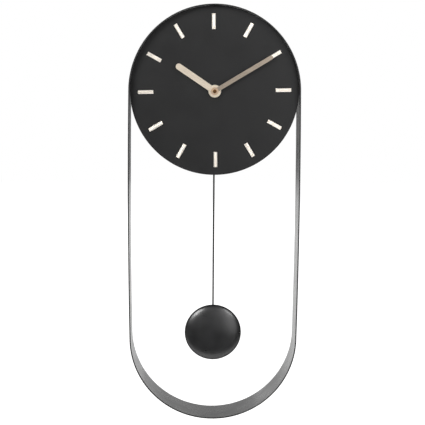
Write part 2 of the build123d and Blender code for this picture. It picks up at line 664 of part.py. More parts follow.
TRAIN = {
    "third_wheel": (
        THIRD_AXIS,
        THIRD_PHASE,
        (THIRD_MODULE, THIRD_TEETH, THIRD_WHEEL_BACK),
        (CENTRE_MODULE, THIRD_PINION_TEETH, CENTRE_WHEEL_BACK),
    ),
    "fourth_wheel": (
        FOURTH_AXIS,
        FOURTH_PHASE,
        (FOURTH_MODULE, FOURTH_TEETH, FOURTH_WHEEL_BACK),
        (THIRD_MODULE, FOURTH_PINION_TEETH, THIRD_WHEEL_BACK),
    ),
    "fifth_wheel": (
        FIFTH_AXIS,
        FIFTH_PHASE,
        (FIFTH_MODULE, FIFTH_TEETH, FIFTH_WHEEL_BACK),
        (FOURTH_MODULE, FIFTH_PINION_TEETH, FOURTH_WHEEL_BACK),
    ),
}
for name, (axis, phase, wheel, pinion) in TRAIN.items():
    with BuildPart() as train_wheel:
        add_disc(ARBOR_RADIUS, ARBOR_BACK, PIVOT_FRONT, axis)
        add_gear(wheel[0], wheel[1], axis, phase, wheel[2], WHEEL_SHEET)
        add_gear(pinion[0], pinion[1], axis, phase, pinion[2] - 0.2, PINION_FACE, True)
    finish(train_wheel, name)

with BuildPart() as rotor:
    add_disc(ARBOR_RADIUS, ARBOR_BACK, PIVOT_FRONT, ROTOR_AXIS)
    add_disc(ROTOR_MAGNET_RADIUS, STATOR_BACK, STATOR_BACK + STATOR_SHEET, ROTOR_AXIS)
    add_gear(
        FIFTH_MODULE,
        ROTOR_PINION_TEETH,
        ROTOR_AXIS,
        ROTOR_PHASE,
        FIFTH_WHEEL_BACK - 0.2,
        PINION_FACE,
        True,
    )
finish(rotor, "rotor")

# ---- Bridge over the back pivots, on three posts
with BuildPart() as gear_bridge:
    add_block((-13.6, -5.0), (25.0, 18.2), BRIDGE_BACK, BRIDGE_FRONT)
    add_block((12.8, 18.0), (25.0, 22.8), BRIDGE_BACK, BRIDGE_FRONT)
    for centre in PIVOT_HOLES:
        add_disc(ARBOR_RADIUS + RUN, BRIDGE_BACK, BRIDGE_FRONT, centre, Mode.SUBTRACT)
    add_disc(2 * ARBOR_RADIUS + RUN, BRIDGE_BACK, BRIDGE_FRONT, mode=Mode.SUBTRACT)
    for centre in BRIDGE_POSTS:
        add_disc(SCREW_RADIUS + RUN, BRIDGE_BACK, BRIDGE_FRONT, centre, Mode.SUBTRACT)
finish(gear_bridge, "gear_bridge")

with BuildPart() as bridge_screws:
    add_screws(BRIDGE_POSTS, BRIDGE_BACK)
finish(bridge_screws, "bridge_screws")

# ---- Motor: stator plates with the rotor's hole, and the coil round their core
CORE_HEIGHT = 23.0
CORE_WIDTH = 2.0
COIL_MIDDLE = -4.0
with BuildPart() as stator:
    add_block((12.9, 15.2), (20.0, 25.6), STATOR_BACK, STATOR_BACK + STATOR_SHEET)
    add_block(
        (COIL_MIDDLE - COIL_LENGTH / 2 - 3, CORE_HEIGHT - CORE_WIDTH / 2),
        (13.0, CORE_HEIGHT + CORE_WIDTH / 2),
        STATOR_BACK,
        STATOR_BACK + STATOR_SHEET,
    )
    add_disc(
        ROTOR_MAGNET_RADIUS + STATOR_GAP,
        STATOR_BACK,
        STATOR_BACK + STATOR_SHEET,
        ROTOR_AXIS,
        Mode.SUBTRACT,
    )
finish(stator, "stator")

CORE_DEPTH = STATOR_BACK + STATOR_SHEET / 2
with BuildPart() as motor_coil:
    add_block(
        (COIL_MIDDLE - COIL_LENGTH / 2, CORE_HEIGHT - COIL_WIDTH / 2),
        (COIL_MIDDLE + COIL_LENGTH / 2, CORE_HEIGHT + COIL_WIDTH / 2),
        CORE_DEPTH - COIL_DEPTH / 2,
        CORE_DEPTH + COIL_DEPTH / 2,
    )
    fillet(motor_coil.edges().filter_by(Axis.X), radius=1.2)
    add_block(
        (COIL_MIDDLE - COIL_LENGTH / 2, CORE_HEIGHT - CORE_WIDTH / 2 - FIT),
        (COIL_MIDDLE + COIL_LENGTH / 2, CORE_HEIGHT + CORE_WIDTH / 2 + FIT),
        STATOR_BACK - FIT,
        STATOR_BACK + STATOR_SHEET + FIT,
        Mode.SUBTRACT,
    )
finish(motor_coil, "motor_coil")

# ---- Battery and its two contacts
BATTERY_LEFT = -HALF_BAY + CONTACT_SHEET + SPRING_REACH
BATTERY_RIGHT = BATTERY_LEFT + BATTERY_LENGTH


def across(x):
    """Plane square to the battery at a place along it, centred on the battery."""
    return Plane(
        origin=(x, -BATTERY_DEPTH, BATTERY_HEIGHT - HOOK_RISE), x_dir=(0, 0, 1), z_dir=(1, 0, 0)
    )


with BuildPart() as battery:
    with BuildSketch(across(BATTERY_LEFT)):
        Circle(BATTERY_RADIUS)
    extrude(amount=BATTERY_LENGTH)
    fillet(battery.edges().filter_by(GeomType.CIRCLE), radius=0.8)
    with BuildSketch(across(BATTERY_RIGHT)):
        Circle(BATTERY_NUB_RADIUS)
    extrude(amount=BATTERY_NUB)
finish(battery, "battery")

with BuildPart() as contact_positive:
    with BuildSketch(across(BATTERY_RIGHT + BATTERY_NUB)):
        Rectangle(12, 10)
    extrude(amount=CONTACT_SHEET)
finish(contact_positive, "contact_positive")

with BuildPart() as contact_negative:
    with BuildSketch(across(-HALF_BAY)):
        Rectangle(12, 10)
    extrude(amount=CONTACT_SHEET)
    with BuildSketch(across(-HALF_BAY + CONTACT_SHEET)):
        Rectangle(8, 2)
    extrude(amount=SPRING_REACH)
finish(contact_negative, "contact_negative")

# ---- Circuit in the pendulum bay: board, crystal, chip and the pendulum's drive coil
BOARD_BACK = BAY_FRONT - 1.6
with BuildPart() as circuit_board:
    add_block((-25.8, -64.0), (-9.0, -32.0), BOARD_BACK, BAY_FRONT)
finish(circuit_board, "circuit_board")

with BuildPart() as timing_chip:
    add_disc(2.6, BOARD_BACK - 1.2, BOARD_BACK, (-17.0, -40.0))
    fillet(timing_chip.faces().sort_by(Axis.Y)[-1].edges(), radius=0.8)
finish(timing_chip, "timing_chip")

CRYSTAL_RADIUS = 1.0
crystal_base = Plane(
    origin=(-17.0, -(BOARD_BACK - CRYSTAL_RADIUS), -56.0 - HOOK_RISE), z_dir=(0, 0, 1)
)
with BuildPart() as quartz_crystal:
    with BuildSketch(crystal_base):
        Circle(CRYSTAL_RADIUS)
    extrude(amount=6.0)
finish(quartz_crystal, "quartz_crystal")

COIL_BACK = BAY_FRONT - PENDULUM_COIL_HEIGHT
with BuildPart() as pendulum_coil:
    add_disc(PENDULUM_COIL_RADIUS, COIL_BACK, BAY_FRONT, (0, MAGNET_HEIGHT))
    add_disc(1.5, COIL_BACK, BAY_FRONT, (0, MAGNET_HEIGHT), Mode.SUBTRACT)
finish(pendulum_coil, "pendulum_coil")

# ---- Pendulum: pivot pin, leader with its magnet, rod, and the bob
with BuildPart() as pivot_pin:
    add_disc(PIVOT_RADIUS, CASE_BACK + 0.2, BAY_FRONT + PIVOT_DEPTH - 0.1, (0, PIVOT_HEIGHT))
finish(pivot_pin, "pivot_pin")

with BuildPart() as pendulum_leader:
    add_disc(LEADER_EYE_RADIUS, PENDULUM_BACK, LEADER_FRONT, (0, PIVOT_HEIGHT))
    add_block(
        (-LEADER_WIDTH / 2, LEADER_END),
        (LEADER_WIDTH / 2, PIVOT_HEIGHT),
        PENDULUM_BACK,
        LEADER_FRONT,
    )
    add_disc(
        PIVOT_RADIUS + RUN, PENDULUM_BACK, LEADER_FRONT, (0, PIVOT_HEIGHT), Mode.SUBTRACT
    )
    add_disc(PEG_RADIUS, LEADER_FRONT, LEADER_FRONT + PEG_LENGTH, (0, PEG_HEIGHT))
    add_block(
        (-PEG_RADIUS, PEG_HEIGHT),
        (PEG_RADIUS, PEG_HEIGHT + ROD_RING_RADIUS),
        LEADER_FRONT + PEG_LENGTH,
        LEADER_FRONT + PEG_LENGTH + 0.6,
    )
finish(pendulum_leader, "pendulum_leader")

with BuildPart() as drive_magnet:
    add_disc(MAGNET_RADIUS, LEADER_FRONT, LEADER_FRONT + MAGNET_THICKNESS, (0, MAGNET_HEIGHT))
finish(drive_magnet, "drive_magnet")

RING_HEIGHT = PEG_HEIGHT + PEG_RADIUS - (ROD_RING_RADIUS - ROD_RADIUS) + RUN
ROD_END = BOB_HEIGHT - CLIP_HEIGHT / 2 - 4.0
ring_section = Plane(
    origin=(0, -ROD_DEPTH, RING_HEIGHT - HOOK_RISE), x_dir=(1, 0, 0), z_dir=(0, 0, 1)
)
ring_axis = Axis((0, -ROD_DEPTH, RING_HEIGHT - HOOK_RISE), (0, 1, 0))
rod_bottom = Plane(origin=(0, -ROD_DEPTH, ROD_END - HOOK_RISE), z_dir=(0, 0, 1))
with BuildPart() as pendulum_rod:
    with BuildSketch(ring_section):
        with Locations((ROD_RING_RADIUS, 0)):
            Circle(ROD_RADIUS)
    revolve(axis=ring_axis, revolution_arc=360)
    with BuildSketch(rod_bottom):
        Circle(ROD_RADIUS)
    extrude(amount=RING_HEIGHT - ROD_RING_RADIUS - ROD_END)
finish(pendulum_rod, "pendulum_rod")


def dome_profile(inset, base):
    """Half section of the bob's shell: a flat back, a round rim and a crowned front."""
    rim = BOB_RADIUS - inset
    front = BOB_THICKNESS - inset
    corner = BOB_RIM_ROUND - inset
    shoulder = front - BOB_CROWN
    knee = sin(radians(45))
    crown_edge = rim - corner
    crown_radius = (crown_edge**2 + BOB_CROWN**2) / (2 * BOB_CROWN)
    crown_drop = crown_radius - sqrt(crown_radius**2 - crown_edge**2 / 4)
    Line((0, base), (rim, base))
    Line((rim, base), (rim, shoulder - corner))
    ThreePointArc(
        (rim, shoulder - corner),
        (rim - corner * (1 - knee), shoulder - corner * (1 - knee)),
        (crown_edge, shoulder),
    )
    ThreePointArc(
        (crown_edge, shoulder),
        (crown_edge / 2, front - crown_drop),
        (0, front),
    )
    Line((0, front), (0, base))


BOB_PLANE = Plane(
    origin=(0, -BOB_BACK, BOB_HEIGHT - HOOK_RISE), x_dir=(1, 0, 0), z_dir=(0, 0, -1)
)
BOB_AXIS = Axis((0, -BOB_BACK, BOB_HEIGHT - HOOK_RISE), (0, 1, 0))


def add_dome(inset, base, mode=Mode.ADD):
    """Add or cut the bob's dome, spun from its half section."""
    with BuildSketch(BOB_PLANE) as section:
        with BuildLine():
            dome_profile(inset, base)
        make_face()
    revolve(section.sketch, axis=BOB_AXIS, revolution_arc=360, mode=mode)


with BuildPart() as bob_shell:
    add_dome(0, 0)
    add_dome(BOB_SHEET, 0, Mode.SUBTRACT)
finish(bob_shell, "bob_shell")

with BuildPart() as bob_back:
    add_disc(
        BOB_RADIUS - BOB_SHEET - RUN, BOB_BACK, BOB_BACK + BOB_SHEET, (0, BOB_HEIGHT)
    )
finish(bob_back, "bob_back")

with BuildPart() as bob_clip:
    add_block(
        (-CLIP_WIDTH / 2, BOB_HEIGHT - CLIP_HEIGHT / 2),
        (CLIP_WIDTH / 2, BOB_HEIGHT + CLIP_HEIGHT / 2),
        ROD_DEPTH - ROD_RADIUS - BOB_SHEET,
        BOB_BACK,
    )
    add_block(
        (-ROD_RADIUS - FIT, BOB_HEIGHT - CLIP_HEIGHT / 2),
        (ROD_RADIUS + FIT, BOB_HEIGHT + CLIP_HEIGHT / 2),
        ROD_DEPTH - ROD_RADIUS - FIT,
        BOB_BACK,
        Mode.SUBTRACT,
    )
finish(bob_clip, "bob_clip")

# ---- Hands and their cap
MINUTE_ANGLE = 90.0 + DIAL_TURN - TIME_MINUTES * 6.0
HOUR_ANGLE = 90.0 + DIAL_TURN - TIME_MINUTES * 0.5


def add_hand(length, width, hub_radius, angle, back, bore):
    """Add a flat straight hand with a round stepped hub and a round tip."""
    with BuildSketch(facing(back)) as outline:
        with PolarLocations(length / 2, 1, start_angle=angle):
            SlotOverall(length, width)
        Circle(hub_radius)
    extrude(outline.sketch, amount=HAND_THICKNESS, dir=FORWARD)
    add_disc(hub_radius, back, back + HAND_THICKNESS + HUB_STEP)
    add_disc(bore + FIT, back, back + HAND_THICKNESS + HUB_STEP, mode=Mode.SUBTRACT)


with BuildPart() as hour_hand:
    add_hand(
        HOUR_HAND_LENGTH, HOUR_HAND_WIDTH, HOUR_HUB_RADIUS, HOUR_ANGLE, HOUR_HAND_BACK, BUSH_BORE
    )
finish(hour_hand, "hour_hand")

with BuildPart() as minute_hand:
    add_hand(
        MINUTE_HAND_LENGTH,
        MINUTE_HAND_WIDTH,
        MINUTE_HUB_RADIUS,
        MINUTE_ANGLE,
        MINUTE_HAND_BACK,
        CAP_THREAD,
    )
finish(minute_hand, "minute_hand")

CAP_BACK = MINUTE_HAND_FRONT + HUB_STEP
with BuildPart() as centre_cap:
    add_disc(CAP_RADIUS, CAP_BACK, CAP_BACK + CAP_HEIGHT)
    fillet(centre_cap.faces().sort_by(Axis.Y)[0].edges(), radius=0.7)
    add_disc(CAP_THREAD + FIT, CAP_BACK, CAP_BACK + CAP_HEIGHT - 0.8, mode=Mode.SUBTRACT)
finish(centre_cap, "centre_cap")
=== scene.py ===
"""Looks of a pendulum wall clock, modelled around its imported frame.

Metres, +Z up, front towards -Y.
"""
import math

import bpy
from mathutils import Matrix, Vector


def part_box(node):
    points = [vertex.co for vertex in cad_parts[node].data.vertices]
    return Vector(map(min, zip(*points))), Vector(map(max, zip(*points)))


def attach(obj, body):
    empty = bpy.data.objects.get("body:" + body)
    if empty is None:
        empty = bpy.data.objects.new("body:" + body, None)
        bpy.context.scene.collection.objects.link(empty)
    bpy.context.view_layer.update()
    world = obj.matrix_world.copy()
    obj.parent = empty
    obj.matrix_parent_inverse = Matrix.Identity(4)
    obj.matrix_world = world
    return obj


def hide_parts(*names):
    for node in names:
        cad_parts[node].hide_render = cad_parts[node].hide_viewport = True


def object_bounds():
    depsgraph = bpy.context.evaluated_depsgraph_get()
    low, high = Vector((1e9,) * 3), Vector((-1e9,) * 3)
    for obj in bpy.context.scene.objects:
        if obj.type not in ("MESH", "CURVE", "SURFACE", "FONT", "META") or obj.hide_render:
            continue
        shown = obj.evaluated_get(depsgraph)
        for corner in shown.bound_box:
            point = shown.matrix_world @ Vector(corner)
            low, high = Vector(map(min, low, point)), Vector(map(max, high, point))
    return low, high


bl_info = {
    "name": "Pendulum wall clock",
    "version": (1, 0, 0),
    "blender": (4, 5, 0),
    "location": "3D View > Sidebar > Clock",
    "description": "Models and finishes a pendulum wall clock around its frame",
    "category": "Add Mesh",
}

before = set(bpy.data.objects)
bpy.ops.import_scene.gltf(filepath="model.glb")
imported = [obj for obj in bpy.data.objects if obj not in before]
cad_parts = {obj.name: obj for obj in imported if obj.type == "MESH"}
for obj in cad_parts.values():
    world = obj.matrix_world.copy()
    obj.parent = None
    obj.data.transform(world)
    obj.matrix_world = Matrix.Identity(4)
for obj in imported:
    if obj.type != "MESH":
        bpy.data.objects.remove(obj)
cad_low, cad_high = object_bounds()

MM = 0.001
QUARTER = math.radians(90)
NEAR = 0.01 * MM
SMOOTH_ANGLE = math.radians(35)

# ---- Places read from the frame
DIAL_LOW, DIAL_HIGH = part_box("dial")
AXIS_HEIGHT = (DIAL_LOW.z + DIAL_HIGH.z) / 2
DIAL_RADIUS = (DIAL_HIGH.x - DIAL_LOW.x) / 2
DIAL_BACK = DIAL_HIGH.y
DIAL_FRONT = DIAL_LOW.y
HANDS_AXIS = Vector((0, 0, AXIS_HEIGHT))
NOON_MARK = (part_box("hour_mark_12")[0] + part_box("hour_mark_12")[1]) / 2
DIAL_TURN = math.atan2(NOON_MARK.x, NOON_MARK.z - AXIS_HEIGHT)


# ==== Modelling helpers

def focus(piece):
    """Make a piece the only selected one."""
    bpy.ops.object.select_all(action="DESELECT")
    piece.select_set(True)
    bpy.context.view_layer.objects.active = piece


def settle(piece):
    """Put a piece's place into its mesh, so that its object sits at the origin."""
    focus(piece)
    bpy.ops.object.transform_apply(location=True, rotation=True, scale=True)
    return piece


def open_mesh(piece):
    """Go into edit mode on a piece, with all of it selected."""
    focus(piece)
    bpy.ops.object.mode_set(mode="EDIT")
    bpy.ops.mesh.select_mode(type="VERT")
    bpy.ops.mesh.select_all(action="SELECT")


def close_mesh():
    """Turn all faces outwards and leave edit mode."""
    bpy.ops.mesh.select_all(action="SELECT")
    bpy.ops.mesh.normals_make_consistent(inside=False)
    bpy.ops.object.mode_set(mode="OBJECT")


def pick(piece, kind, test):
    """In edit mode, select only the points, edges or faces that a test accepts."""
    bpy.ops.mesh.select_mode(type=kind)
    bpy.ops.mesh.select_all(action="DESELECT")
    bpy.ops.object.mode_set(mode="OBJECT")
    mesh = piece.data
    for item in {"VERT": mesh.vertices, "EDGE": mesh.edges, "FACE": mesh.polygons}[kind]:
        item.select = test(item)
    bpy.ops.object.mode_set(mode="EDIT")


def ends(piece, edge):
    """The two end points of an edge."""
    return [piece.data.vertices[index].co for index in edge.vertices]


def modified(piece, kind, **settings):
    """Add a modifier to a piece and apply it."""
    focus(piece)
    modifier = piece.modifiers.new(kind.title(), kind)
    for setting, value in settings.items():
        setattr(modifier, setting, value)
    bpy.ops.object.modifier_apply(modifier=modifier.name)
    return piece


def eased(piece, width, segments=2, angle=35):
    """Round the sharp edges of a piece."""
    return modified(
        piece, "BEVEL", width=width, segments=segments, limit_method="ANGLE",
        angle_limit=math.radians(angle), harden_normals=False,
    )


def cut(piece, cutter, operation="DIFFERENCE"):
    """Cut one piece with another, or join or intersect them, and use the second one up."""
    modified(piece, "BOOLEAN", operation=operation, object=cutter, solver="EXACT")
    bpy.data.objects.remove(cutter)
    return piece


def joined(name, pieces):
    """Join pieces into one object."""
    focus(pieces[0])
    for piece in pieces:
        piece.select_set(True)
    if len(pieces) > 1:
        bpy.ops.object.join()
    pieces[0].name = name
    return pieces[0]


def copied(piece, name, matrix):
    """A copy of a piece with a mesh of its own, moved by a matrix."""
    twin = piece.copy()
    twin.data = piece.data.copy()
    twin.name = name
    bpy.context.scene.collection.objects.link(twin)
    twin.matrix_world = matrix
    return settle(twin)


def turn_about(centre, angle):
    """Matrix that turns clockwise, seen from the front, about a front-to-back axis."""
    place = Matrix.Translation(centre)
    return place @ Matrix.Rotation(angle, 4, "Y") @ place.inverted()


def disc(name, centre, radius, segments=48, axis=1):
    """A filled circle square to an axis, in edit mode. Its points lie half a step off the axes."""
    half_step = math.pi / segments
    rotation = [(0, QUARTER, 0), (QUARTER, half_step, 0), (0, 0, half_step)][axis]
    bpy.ops.object.select_all(action="DESELECT")
    bpy.ops.mesh.primitive_circle_add(
        vertices=segments, radius=radius, fill_type="NGON", location=centre, rotation=rotation
    )
    piece = bpy.context.object
    piece.name = name
    settle(piece)
    open_mesh(piece)
    return piece


def turned(name, centre, rings, segments=48, axis=1, through=False):
    """A turned solid: rings are (radius, place along the axis), and through leaves it hollow."""
    def on_axis(place):
        point = Vector(centre)
        point[axis] = place
        return point

    radius, place = rings[0]
    piece = disc(name, on_axis(place), radius, segments, axis)
    for next_radius, next_place in rings[1:]:
        bpy.ops.mesh.extrude_region_move(
            TRANSFORM_OT_translate={"value": on_axis(next_place) - on_axis(place)}
        )
        share = [next_radius / radius] * 3
        share[axis] = 1
        bpy.ops.transform.resize(value=share, center_override=on_axis(next_place))
        radius, place = next_radius, next_place
    if through:
        pick(piece, "FACE", lambda face: len(face.vertices) == segments)
        bpy.ops.mesh.bridge_edge_loops()
    close_mesh()
    return piece


def block(name, low, high):
    """A block between two corners."""
    bpy.ops.object.select_all(action="DESELECT")
    bpy.ops.mesh.primitive_cube_add(
        size=1, location=(Vector(low) + Vector(high)) / 2, scale=Vector(high) - Vector(low)
    )
    piece = bpy.context.object
    piece.name = name
    return settle(piece)


def refined(name, node, ease, segments=2):
    """A piece started from a frame node: merged, cleaned up and its edges eased."""
    piece = bpy.data.objects.new(name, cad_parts[node].data.copy())
    bpy.context.scene.collection.objects.link(piece)
    open_mesh(piece)
    bpy.ops.mesh.remove_doubles(threshold=0.001 * MM)
    bpy.ops.mesh.dissolve_limited(angle_limit=math.radians(1))
    close_mesh()
    return eased(piece, ease, segments)


def round_over(radius, flat, ease, steps=4):
    """Rings that round an outer edge onto a flat at the end of a turned solid, along -Y."""
    rings = []
    for step in range(steps + 1):
        angle = QUARTER * step / steps
        rings.append((radius - ease * (1 - math.cos(angle)), flat + ease * (1 - math.sin(angle))))
    return rings


def dress(piece, body, slot, finish, *nodes, weighted=False):
    """Smooth a finished piece, give it its finish and let it ride in place of its nodes."""
    focus(piece)
    bpy.ops.object.shade_smooth_by_angle(angle=SMOOTH_ANGLE)
    if weighted:
        modified(piece, "WEIGHTED_NORMAL", keep_sharp=True)
    piece.data.materials.clear()
    piece.data.materials.append(finish)
    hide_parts(*nodes)
    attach(piece, body)
    return piece


# ==== Finishes

def new_finish(name, colour, roughness, metallic=0.0, coat=0.0, specular=0.5):
    """A finish with its plain values set."""
    finish = bpy.data.materials.new(name)
    finish.use_nodes = True
    shader = principled(finish)
    shader.inputs["Base Color"].default_value = (*colour, 1)
    shader.inputs["Roughness"].default_value = roughness
    shader.inputs["Metallic"].default_value = metallic
    shader.inputs["Specular IOR Level"].default_value = specular
    shader.inputs["Coat Weight"].default_value = coat
    shader.inputs["Coat Roughness"].default_value = 0.12
    return finish


def principled(finish):
    """The shader of a finish."""
    return finish.node_tree.nodes["Principled BSDF"]


def node(finish, kind, **values):
    """Add a node and set its inputs by name, from plain values or from other nodes' outputs."""
    made = finish.node_tree.nodes.new(kind)
    for key, value in values.items():
        name = int(key[1:]) if key[1:].isdigit() else key.replace("_", " ")
        socket = made.inputs[name]
        if isinstance(value, bpy.types.NodeSocket):
            finish.node_tree.links.new(value, socket)
        else:
            socket.default_value = value
    return made


def straight(finish, size, centre=(0, 0, 0), turn=0.0):
    """Object coordinates in a frame turned about the front-to-back axis, in units of a size."""
    place = node(finish, "ShaderNodeTexCoord").outputs["Object"]
    mapping = node(finish, "ShaderNodeMapping", Vector=place)
    mapping.vector_type = "TEXTURE"
    mapping.inputs["Location"].default_value = centre
    mapping.inputs["Rotation"].default_value = (0, turn, 0)
    mapping.inputs["Scale"].default_value = size
    return mapping.outputs["Vector"]


def around(finish, centre, arc, ring):
    """Coordinates that run round a front-to-back axis: angle in arcs, then radius in rings."""
    place = node(finish, "ShaderNodeTexCoord").outputs["Object"]
    offset = node(finish, "ShaderNodeVectorMath", _0=place, _1=centre)
    offset.operation = "SUBTRACT"
    parts = node(finish, "ShaderNodeSeparateXYZ", Vector=offset.outputs["Vector"])
    angle = node(finish, "ShaderNodeMath", _0=parts.outputs["Z"], _1=parts.outputs["X"])
    angle.operation = "ARCTAN2"
    flat = node(finish, "ShaderNodeCombineXYZ", X=parts.outputs["X"], Z=parts.outputs["Z"])
    reach = node(finish, "ShaderNodeVectorMath", _0=flat.outputs["Vector"])
    reach.operation = "LENGTH"
    turn = node(finish, "ShaderNodeMath", _0=angle.outputs["Value"], _1=arc)
    turn.operation = "DIVIDE"
    out = node(finish, "ShaderNodeMath", _0=reach.outputs["Value"], _1=ring)
    out.operation = "DIVIDE"
    made = node(finish, "ShaderNodeCombineXYZ", X=turn.outputs["Value"], Y=out.outputs["Value"])
    return made.outputs["Vector"]


def grain(finish, coordinates, detail=3.0, roughness=0.55):
    """Noise over coordinates, one feature to a unit."""
    noise = node(
        finish, "ShaderNodeTexNoise", Vector=coordinates, Scale=1.0, Detail=detail,
        Roughness=roughness,
    )
    return noise.outputs["Fac"]


def tint(finish, source, dark, light, low=0.3, high=0.7):
    """Let the base colour run between two tones."""
    level = node(
        finish, "ShaderNodeMapRange", Value=source, From_Min=low, From_Max=high, To_Min=0.0,
        To_Max=1.0,
    )
    mix = node(finish, "ShaderNodeMix")
    mix.data_type = "RGBA"
    colours = [socket for socket in mix.inputs if socket.type == "RGBA"]
    colours[0].default_value = (*dark, 1)
    colours[1].default_value = (*light, 1)
    finish.node_tree.links.new(level.outputs["Result"], mix.inputs["Factor"])
    result = [socket for socket in mix.outputs if socket.type == "RGBA"][0]
    finish.node_tree.links.new(result, principled(finish).inputs["Base Color"])


def polish(finish, source, low, high):
    """Let the roughness run between two values."""
    level = node(
        finish, "ShaderNodeMapRange", Value=source, From_Min=0.3, From_Max=0.7, To_Min=low,
        To_Max=high,
    )
    finish.node_tree.links.new(level.outputs["Result"], principled(finish).inputs["Roughness"])


def relief(finish, source, height, strength=1.0):
    """Raise the surface by a pattern, on top of any relief that it has already."""
    shader = principled(finish)
    bump = node(finish, "ShaderNodeBump", Height=source, Strength=strength, Distance=height)
    under = shader.inputs["Normal"].links
    if under:
        finish.node_tree.links.new(under[0].from_socket, bump.inputs["Normal"])
    finish.node_tree.links.new(bump.outputs["Normal"], shader.inputs["Normal"])


def scaled(colour, share):
    """A colour made darker or lighter."""
    return tuple(min(1.0, channel * share) for channel in colour)


def painted(
    name, colour, rough, peel=1.2 * MM, peel_height=0.004 * MM, spread=0.06, coat=0.0, specular=0.5
):
    """Sprayed lacquer: slow changes of tone and gloss, and a fine orange peel."""
    finish = new_finish(name, colour, rough, coat=coat, specular=specular)
    slow = grain(finish, straight(finish, (18 * MM,) * 3), detail=5.0)
    fine = grain(finish, straight(finish, (peel,) * 3), detail=2.0)
    tint(finish, slow, scaled(colour, 0.82), scaled(colour, 1.18))
    polish(finish, slow, rough - spread, rough + spread)
    relief(finish, fine, peel_height)
    return finish


def powder_coated(name, colour, rough, specular=0.5):
    """Matt powder coat: a fine pebbled skin with small lighter specks."""
    finish = new_finish(name, colour, rough, specular=specular)
    pebble = grain(finish, straight(finish, (0.45 * MM,) * 3), detail=2.0)
    slow = grain(finish, straight(finish, (30 * MM,) * 3), detail=4.0)
    tint(finish, pebble, scaled(colour, 0.85), scaled(colour, 1.2))
    polish(finish, slow, rough - 0.04, rough + 0.04)
    relief(finish, pebble, 0.02 * MM)
    return finish


def brushed(name, colour, rough, coordinates, height=0.006 * MM, spread=0.1):
    """Brushed metal: fine lines along one way, in coordinates stretched that way."""
    finish = new_finish(name, colour, rough, metallic=1.0)
    lines = grain(finish, coordinates(finish), detail=4.0, roughness=0.7)
    cloud = grain(finish, straight(finish, (6 * MM,) * 3), detail=3.0)
    tint(finish, lines, scaled(colour, 0.86), scaled(colour, 1.08), 0.35, 0.65)
    polish(finish, lines, rough - spread, rough + spread)
    relief(finish, lines, height)
    relief(finish, cloud, height, 0.3)
    return finish


def machined(name, colour, rough, centre=(0, 0, 0), ring=0.12 * MM):
    """Turned metal: fine rings about a front-to-back axis."""
    return brushed(name, colour, rough, lambda finish: around(finish, centre, 3.0, ring))


def plated(name, colour, rough):
    """Zinc or nickel plate: cloudy metal with tiny pits."""
    finish = new_finish(name, colour, rough, metallic=1.0)
    cloud = grain(finish, straight(finish, (1.6 * MM,) * 3), detail=5.0)
    pits = grain(finish, straight(finish, (0.25 * MM,) * 3), detail=2.0)
    tint(finish, cloud, scaled(colour, 0.85), scaled(colour, 1.1))
    polish(finish, cloud, rough - 0.08, rough + 0.1)
    relief(finish, pits, 0.004 * MM)
    return finish


def moulded(name, colour, rough, texture=0.35 * MM):
    """Moulded plastic: an even spark-eroded texture with faint flow marks."""
    finish = new_finish(name, colour, rough)
    spark = grain(finish, straight(finish, (texture,) * 3), detail=2.0)
    flow = grain(finish, straight(finish, (9 * MM, 9 * MM, 40 * MM)), detail=3.0)
    tint(finish, flow, scaled(colour, 0.88), scaled(colour, 1.12))
    polish(finish, flow, rough - 0.05, rough + 0.05)
    relief(finish, spark, 0.01 * MM)
    return finish


def wound(name, colour, rough, pitch=0.1 * MM):
    """Fine enamelled wire laid in close turns."""
    finish = new_finish(name, colour, rough, metallic=0.85, coat=0.4)
    wires = node(
        finish, "ShaderNodeTexWave", Vector=straight(finish, (2 * pitch,) * 3), Scale=1.0,
        Distortion=0.6, Detail=1.0,
    ).outputs["Fac"]
    # The colour follows the same wave as the relief. It is darker in the grooves between the turns,
    # which is painted shade, and lighter on their crests, which is painted highlight.
    tint(finish, wires, scaled(colour, 0.55), scaled(colour, 1.15), 0.1, 0.9)
    relief(finish, wires, 0.02 * MM)
    return finish


# ==== Settings that a user would change

def length_setting(name, description, default):
    """A length, shown to a tenth of a millimetre."""
    return bpy.props.FloatProperty(
        name=name, description=description, default=default, unit="LENGTH", precision=4
    )


def colour_setting(name, description, default):
    """A paint or metal colour."""
    return bpy.props.FloatVectorProperty(
        name=name, description=description, default=default, subtype="COLOR", min=0.0, max=1.0
    )


